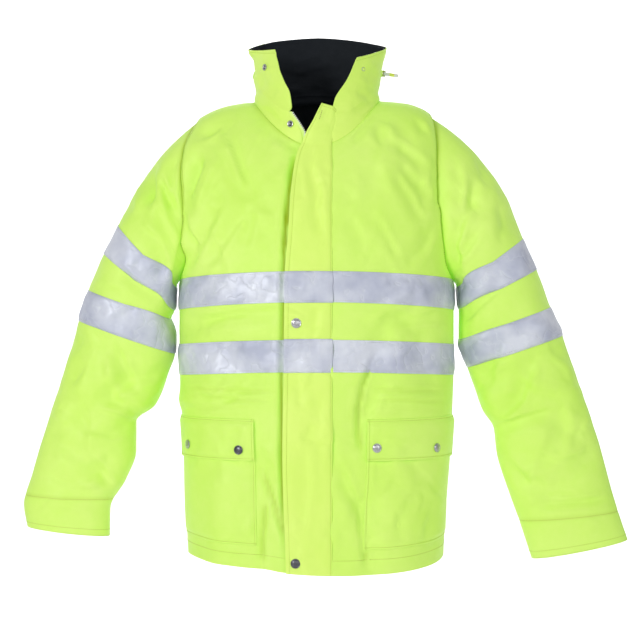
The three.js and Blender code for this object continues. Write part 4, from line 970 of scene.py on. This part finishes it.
def tapeOn(name, node, points, normal, seed, flip=False, wrap=False, flat=None):
    along = np.concatenate([[0], np.cumsum(np.linalg.norm(np.diff(points, axis=1), axis=2).mean(0))])[None]
    across = np.concatenate([[0], np.cumsum(np.linalg.norm(np.diff(points, axis=0), axis=2).mean(1))])[:, None]
    wide = across.max()
    held = np.clip(np.minimum(across, wide - across) / 9, 0, 1)
    height = facets(along, across, seed, tapeCut["crinkle"]) * held
    if wrap:
        height = mix(height, height[:, :1], np.clip((along - along.max() + 30) / 30, 0, 1))
    lifted = points + normal * (tapeCut["lift"] + np.maximum(height, -0.35) + 0.6 * held)[..., None]
    return clothPiece(name, [node], lifted, (tapeSilver, tapeSilver), wall=tapeCut["wall"],
                      wrap=wrap, flip=flip, flat=flat)


tapeLines = []  # sewn edges of each tape, for the stitches
for level in ("upper", "lower"):
    low, high = cloth[level + "Tape"]
    rows = spread(low, high, 3.2)
    for side in ("right", "left"):
        start = zipEdge["right"] if side == "right" else cloth["flapSeamX"] + 0.6
        turns = mix(angleAt(np.full(rows.shape, float(start)), rows)[:, None], -90.0 if side == "right" else 90.0,
                    steps(0, 285 if side == "right" else 240)[None])
        points, normal = bodySurface(turns, rows[:, None])
        tapeOn(f"tape_{level}_{side}_film", f"tape_{level}_front_{side}", points, normal,
               {"upper": 71, "lower": 75}[level] + (side == "left"), flip=side == "right", flat=(0.29, 0.05))
        tapeLines += [(points[3], normal[3]), (points[-4], normal[-4])]
    turns = np.linspace(90, 270, 190)
    points, normal = bodySurface(turns[None], rows[:, None])
    tapeOn(f"tape_{level}_back_film", f"tape_{level}_back", points, normal, 80 + (level == "lower"),
           flat=(0.61, 0.05))
    tapeLines += [(points[3], normal[3]), (points[-4], normal[-4])]
    band = [nearest(frontRows, low), nearest(frontRows, high)]
    flapBand = cut(flap["points"], band, (0, 99)), cut(flap["normal"], band, (0, 99))
    tapeOn(f"tape_{level}_flap_film", f"tape_{level}_flap", *flapBand, 84 + (level == "lower"), flip=True,
           flat=(0.076, 0.05))
    tapeLines += [(flapBand[0][1], flapBand[1][1]), (flapBand[0][-2], flapBand[1][-2])]
for side, made in sleeves.items():
    for level in ("upper", "lower"):
        first, last = sleeveCut[level + "Tape"]
        band = nearest(made["rings"], first), nearest(made["rings"], last)
        points, normal = cut(made["full"], band, (0, 999)), cut(made["normal"], band, (0, 999))
        tapeOn(f"tape_sleeve_{side}_{level}_film", f"tape_sleeve_{side}_{level}", points, normal,
               90 + (side == "left") + 2 * (level == "lower"), flip=side == "left", wrap=True, flat=(0.47, 0.053))
        tapeLines += [(np.vstack([points[1], points[1][:1]]), np.vstack([normal[1], normal[1][:1]])),
                      (np.vstack([points[-2], points[-2][:1]]), np.vstack([normal[-2], normal[-2][:1]]))]
print("reflective tape")


# ---------------------------------------------------------------- one part copied to many places
def copiesOf(name, model, origins, along, out, finish, slot, nodes=(), body=jacketBody):
    finish = finish if isinstance(finish, tuple) else (finish,)
    shades = [p.material_index for p in model.data.polygons]
    corners = np.zeros(len(model.data.vertices) * 3)
    model.data.vertices.foreach_get("co", corners)
    corners = corners.reshape(-1, 3)
    faces = [list(p.vertices) for p in model.data.polygons]
    bpy.data.objects.remove(model)
    along, out = unit(np.array(along, float)), np.array(out, float)
    out = unit(out - along * (out * along).sum(-1, keepdims=True))
    aside = np.cross(out, along)
    points = (np.array(origins, float)[:, None] + corners[None, :, :1] / mm * along[:, None]
              + corners[None, :, 1:2] / mm * aside[:, None] + corners[None, :, 2:] / mm * out[:, None])
    every = [[k * len(corners) + v for v in face] for k in range(len(points)) for face in faces]
    piece = meshOf(name, points.reshape(-1, 3), every, finish)
    if max(shades):
        piece.data.polygons.foreach_set("material_index", np.array(shades * len(points), np.int32))
    return settle(piece, nodes, body)


def stitchModel(long, wide, high):
    deselect()
    bpy.ops.mesh.primitive_cube_add(size=1, location=(0, 0, 0))
    model = bpy.context.object
    model.scale = (long * mm, wide * mm, high * mm)
    bpy.ops.object.transform_apply(scale=True)
    mesh = bmesh.new()
    mesh.from_mesh(model.data)
    for corner in mesh.verts:
        if corner.co.z > 0:
            corner.co.x *= 0.72
            corner.co.y *= 0.4
    mesh.to_mesh(model.data)
    mesh.free()
    return model


def marched(path, normals, pitch):
    # even places along a line on the cloth
    path, normals = np.array(path, float), np.array(normals, float)
    gone = np.concatenate([[0], np.cumsum(np.linalg.norm(np.diff(path, axis=0), axis=1))])
    at = np.arange(pitch / 2, gone[-1], pitch)
    place = np.stack([np.interp(at, gone, path[:, k]) for k in range(3)], -1)
    ahead = np.stack([np.interp(at + 0.5, gone, path[:, k]) for k in range(3)], -1)
    behind = np.stack([np.interp(at - 0.5, gone, path[:, k]) for k in range(3)], -1)
    out = np.stack([np.interp(at, gone, normals[:, k]) for k in range(3)], -1)
    return place, ahead - behind, out


def stitched(name, lines, finish, slot, lift, pitch=3.6):
    marks = [marched(path, normals, pitch) for path, normals in lines]
    origins, along, out = (np.concatenate([mark[k] for mark in marks]) for k in range(3))
    return copiesOf(name, stitchModel(2.5, 0.8, 0.7), origins + unit(out) * lift, along, out, finish, slot)


stitched("tape_stitches", [(path, out) for path, out in tapeLines], tapeThread, "reflective_tape", tapeCut["lift"] + 0.1)

bodyLines = []
hemLine = np.full(150, cloth["hem"] + 24.0)
edges = {side: float(angleAt(np.array([float(zipEdge[side])]), np.array([-755.0]))[0]) for side in zipEdge}
for first, last in ((-90, edges["right"]), (edges["left"], 90), (90, 270)):
    bodyLines.append(bodySurface(np.linspace(first, last, 150), hemLine))
for sign in (-1, 1):  # beside the armhole seams
    turns = np.linspace(4, 356, 200)
    away = (armholeOpen(turns) + 1.7) * np.where(turns > 180, -1, 1)
    bodyLines.append(bodySurface(sign * (90 + away), cloth["armholeMiddle"] + (cloth["armholeHalf"] + 6) * np.cos(np.radians(turns))))
stitched("body_stitches", bodyLines, stitchThread, "hi_vis_cloth", 0.15)

flapLines = [(flap["points"][:, k], flap["normal"][:, k]) for k in (3, flap["points"].shape[1] - 6)]
flapLines.append((flap["points"][-3], flap["normal"][-3]))
for side in ("right", "left"):
    for grid in (pockets[side], pocketFlaps[side]):
        inner, outer = 3, grid["points"].shape[1] - 4
        flapLines += [(grid["points"][:, k], grid["normal"][:, k]) for k in (inner, outer)]
        flapLines.append((grid["points"][3], grid["normal"][3]))
        flapLines.append((grid["points"][-4], grid["normal"][-4]))
topRow = nearest(collar["shares"], 0.955)
flapLines.append((collar["points"][topRow], collar["normal"][topRow]))
for made in sleeves.values():
    row = nearest(-made["fromCuff"], -sleeveCut["cuff"])
    for k in (row, len(made["fromCuff"]) - 4):
        flapLines.append((np.vstack([made["full"][k], made["full"][k][:1]]), np.vstack([made["normal"][k], made["normal"][k][:1]])))
stitched("trim_stitches", flapLines, stitchThread, "hi_vis_cloth", 0.15)
print("stitches")


# ---------------------------------------------------------------- zips
zipCut = {"pitch": 3.4, "tooth": (3.0, 1.5, 2.2), "tape": 0.9}


def toothModel(wide, tall, thick):
    # a moulded tooth: a block with rounded edges
    deselect()
    bpy.ops.mesh.primitive_cube_add(size=1, location=(0, 0, 0))
    model = bpy.context.object
    model.scale = (tall * mm, wide * mm, thick * mm)
    bpy.ops.object.transform_apply(scale=True)
    bevel = model.modifiers.new("soft", "BEVEL")
    bevel.width, bevel.segments = 0.5 * mm, 1
    bpy.ops.object.modifier_apply(modifier=bevel.name)
    return model


zipRows = spread(cloth["hem"] + 6, cloth["neck"], 4, False)
zipTopRow = nearest(collar["shares"], collarCut["zipTop"])
for side in ("right", "left"):
    sign = -1 if side == "right" else 1
    column = 0 if side == "right" else -1
    strip, face = [], []
    for k in range(4):
        x = cloth["zipX"] + sign * mix(0.4, cloth["zipHalf"] - 0.1, k / 3)
        points, normal = bodySurface(angleAt(np.full(zipRows.shape, float(x)), zipRows), zipRows, False)
        edge = collar["smooth"][1:zipTopRow + 1, column]
        above = edge + np.array([-sign * mix(cloth["zipHalf"] - 0.4, 0.1, k / 3), 0, 0])
        strip.append(np.concatenate([points, above]) - np.array([0, -0.6, 0]))
        face.append(np.concatenate([normal, collar["normal"][1:zipTopRow + 1, column]]))
    strip, face = np.array(strip).transpose(1, 0, 2), np.array(face).transpose(1, 0, 2)
    tape = meshOf(f"zip_{side}_tape", strip.reshape(-1, 3), gridFaces(*strip.shape[:2])[:, ::sign], (zipCloth, zipCloth),
                  gridMap(strip))
    thicken(tape, zipCut["tape"], 1)
    settle(tape, [f"zip_{side}"])
    origins, along, out = marched(strip[:, 0], face[:, 0], zipCut["pitch"])
    if side == "left":
        origins = origins + unit(along) * zipCut["pitch"] / 2
    copiesOf(f"zip_{side}_teeth", toothModel(*zipCut["tooth"]), origins - np.array([sign * 0.4, 0.2, 0]), along, out,
             toothPlastic, "white_plastic")

hoodPoints, hoodNormal = collarStrip(*collarCut["hoodZip"], *collarCut["hoodTurns"], 1.2)
clothPiece("hood_zip_tape", ["hood_zip"], hoodPoints, (hiVisTrim, hiVisTrim), wall=0.9, flip=True, flat=(0.21, 0.02))
middleRow = hoodPoints.shape[0] // 2
copiesOf("hood_zip_teeth", toothModel(3.4, 1.7, 1.2), *marched(
    hoodPoints[middleRow] + hoodNormal[middleRow] * 0.4, hoodNormal[middleRow], 3.0), toothPlastic, "hi_vis_cloth")


def softened(node, name, width, finish, body):
    # a copy of a solid with its edges rounded
    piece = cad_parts[node].copy()
    piece.data = piece.data.copy()
    piece.name = name
    bpy.context.scene.collection.objects.link(piece)
    piece.parent = None
    for key in list(piece.keys()):
        del piece[key]
    pick(piece)
    bpy.ops.object.mode_set(mode="EDIT")
    bpy.ops.mesh.select_all(action="SELECT")
    bpy.ops.mesh.remove_doubles(threshold=0.00001)
    bpy.ops.mesh.dissolve_limited(angle_limit=math.radians(4))
    bpy.ops.object.mode_set(mode="OBJECT")
    bevel = piece.modifiers.new("soft", "BEVEL")
    bevel.width, bevel.segments, bevel.limit_method, bevel.angle_limit = width * mm, 2, "ANGLE", math.radians(40)
    bpy.ops.object.modifier_apply(modifier=bevel.name)
    piece.data.materials.clear()
    piece.data.materials.append(finish)
    bpy.ops.object.shade_smooth_by_angle(angle=math.radians(35))
    deselect()
    return settle(piece, [node], body)


softened("zip_slider", "zip_slider_moulded", 0.4, whitePlastic, jacketBody)
softened("zip_pull", "zip_pull_moulded", 0.35, whitePlastic, jacketBody)
softened("hood_zip_slider", "hood_zip_slider_cast", 0.3, sliderPaint, jacketBody)
softened("hood_zip_pull", "hood_zip_pull_moulded", 0.4, bandedPlastic(), pullBody)
print("zips")


# ---------------------------------------------------------------- snaps
snapCut = {"cap": (8, 2.2), "stud": (5.5, 2.6)}


def ringCut(inset, down):
    # insets the picked face and pushes the new one in or out
    bpy.ops.mesh.inset(thickness=inset * mm)
    bpy.ops.transform.translate(value=(0, 0, down * mm))


def turnedModel(radius, height, cuts, recess=(2, 2), sides=28):
    deselect()
    bpy.ops.mesh.primitive_cylinder_add(vertices=sides, radius=radius * mm, depth=height * mm,
                                        location=(0, 0, height * mm / 2), end_fill_type="NGON")
    model = bpy.context.object
    bpy.ops.object.transform_apply(location=True)
    bpy.ops.object.mode_set(mode="EDIT")
    bpy.ops.mesh.select_mode(type="FACE")
    bpy.ops.mesh.select_all(action="DESELECT")
    mesh = bmesh.from_edit_mesh(model.data)
    for face in mesh.faces:
        face.select = face.normal.z > 0.9
    bmesh.update_edit_mesh(model.data)
    for inset, down in cuts:
        ringCut(inset, down)
    bpy.ops.object.mode_set(mode="OBJECT")
    bevel = model.modifiers.new("rolled", "BEVEL")
    bevel.width, bevel.segments, bevel.limit_method = 0.22 * mm, 2, "ANGLE"
    bpy.ops.object.modifier_apply(modifier=bevel.name)
    for blank in ("face", "recess"):
        model.data.materials.append(bpy.data.materials.get(blank) or bpy.data.materials.new(blank))
    # faces between the two reaches take the second finish
    for face in model.data.polygons:
        reach = math.hypot(face.center.x, face.center.y) / mm / radius
        face.material_index = int(recess[0] < reach < recess[1] and face.normal.z > -0.5)
    return model


def capModel(radius, height):
    return turnedModel(radius, height * 0.35, [(radius * 0.1, 0.12), (radius * 0.06, -0.3), (radius * 0.05, 0.45),
                                               (radius * 0.16, 0.62), (radius * 0.2, 0.34), (radius * 0.22, 0.14)])


def studModel(radius, height):
    # painted shade: the stud's recessed ring takes the dark second finish
    return turnedModel(radius, height * 0.55, [(radius * 0.14, 0.25), (radius * 0.16, -0.2), (radius * 0.12, -0.9),
                                               (radius * 0.16, 0), (radius * 0.04, 1.1), (radius * 0.1, -0.7)], (0.3, 0.62))


def coveredModel(radius, height):
    return turnedModel(radius, height * 0.4, [(radius * 0.16, 0.3), (radius * 0.1, -0.2), (radius * 0.1, 0.3)], (-1, 0.74))


snapModels = {"cap": capModel, "stud": studModel, "covered": coveredModel}


def spotOn(grid, normals, x, z):
    away = np.hypot(grid[..., 0] - x, grid[..., 2] - z) + np.where(normals[..., 1] < 0.3, 0, 1e6)
    at = np.unravel_index(away.argmin(), away.shape)
    return grid[at], normals[at]


snapGrids = {"flap": (flap["points"], flap["normal"]), "collar": (collar["points"], collar["normal"]),
             "right": tuple(pocketFlaps["right"].values()), "left": tuple(pocketFlaps["left"].values())}
snaps = [
    ("snap_flap_upper", "flap", -31, -374, 8, 2.2, "cap", nickel), ("snap_flap_lower", "flap", -32, -758, 7.8, 2.2, "cap", gunmetal),
    ("snap_pocket_right_inner", "right", -124.5, -579, 7.5, 2.2, "cap", gunmetal),
    ("snap_pocket_right_outer", "right", -210, -573, 7.5, 2.2, "cap", nickel),
    ("snap_pocket_left_inner", "left", 97, -577, 7.5, 2.2, "cap", nickel),
    ("snap_pocket_left_outer", "left", 196, -577, 7.5, 2.2, "cap", nickel),
    ("stud_collar_upper", "collar", -84, 48, 5.4, 2.6, "stud", nickel),
    ("stud_collar_lower", "collar", -42.5, -50, 5.6, 2.6, "stud", nickel),
    ("snap_collar_left", "collar", 76, 42, 3.4, 1.4, "covered", nickel)]
for name, grid, x, z, radius, height, kind, finish in snaps:
    point, normal = spotOn(*snapGrids[grid], x, z)
    model = snapModels[kind](radius, height)
    # second finish: cloth on a covered cap, dark gunmetal as painted shade in a stud's recess
    copiesOf(name + "_turned", model, [point + normal * 0.9], [(0, 0, 1)], [normal],
             (finish, hiVisTrim if kind == "covered" else gunmetal),
             "dark_snap_metal" if finish is gunmetal else "snap_metal", [name])
print("snaps")


# Brown bar tack near the flap's top corner
tackPath = np.array([(9.0, -112.6, -31.5), (5.6, -112.8, -43.5)])
origins = mix(tackPath[0], tackPath[1], np.linspace(0, 1, 5)[:, None])
copiesOf("flap_bar_tack", stitchModel(1.9, 0.8, 0.6), origins, [(0.4, 0, 1)] * 5, [(0, -1, 0)] * 5, tackThread, "hi_vis_cloth")


# ---------------------------------------------------------------- studio
def studioSweep():
    across = np.array([-studio["half"], studio["half"]], float)
    turn = np.linspace(0, math.pi / 2, 14)
    y = np.concatenate([[studio["ahead"]], studio["behind"] - studio["sweep"] + studio["sweep"] * np.sin(turn), [studio["behind"]]])
    z = np.concatenate([[0], studio["sweep"] * (1 - np.cos(turn)), [studio["top"]]]) + studio["floor"]
    points = np.stack([np.broadcast_to(across[None], (len(y), 2)), np.broadcast_to(y[:, None], (len(y), 2)),
                       np.broadcast_to(z[:, None], (len(y), 2))], -1)
    made = Finish("pale_floor", {"Base Color": (studio["shade"],) * 3 + (1,), "Roughness": 0.9})
    floor = meshOf("studio_floor", points.reshape(-1, 3), gridFaces(len(y), 2), (made.material,))


studioSweep()
lamps = [
    ("key", (-1700, -2700, 250), (0, 0, -420), 0.6, 37), ("fill", (2100, -2300, 100), (0, 0, -400), 1.6, 13),
    ("front", (500, -3300, 100), (0, 0, -500), 1.4, 9), ("above", (0, -300, 2300), (0, 0, -300), 1.4, 6),
    ("rimLeft", (-2300, 1600, 600), (0, 0, -300), 1.5, 4), ("rimRight", (2300, 1600, 600), (0, 0, -300), 1.5, 3),
    ("backdrop", (0, 3600, 2600), (0, 5600, -400), 4.0, 230)]
for name, place, aim, size, power in lamps:
    deselect()
    bpy.ops.object.light_add(type="AREA", location=[v * mm for v in place])
    lamp = bpy.context.object
    lamp.name = "lamp_" + name
    lamp.data.size, lamp.data.energy = size, power
    toward = Vector([b - a for a, b in zip(place, aim)])
    lamp.rotation_euler = toward.to_track_quat("-Z", "Y").to_euler()
world = bpy.data.worlds.new("studio")
world.use_nodes = True
world.node_tree.nodes["Background"].inputs["Color"].default_value = (1, 1, 1, 1)
world.node_tree.nodes["Background"].inputs["Strength"].default_value = 0.35
bpy.context.scene.world = world
deselect()
print("studio")
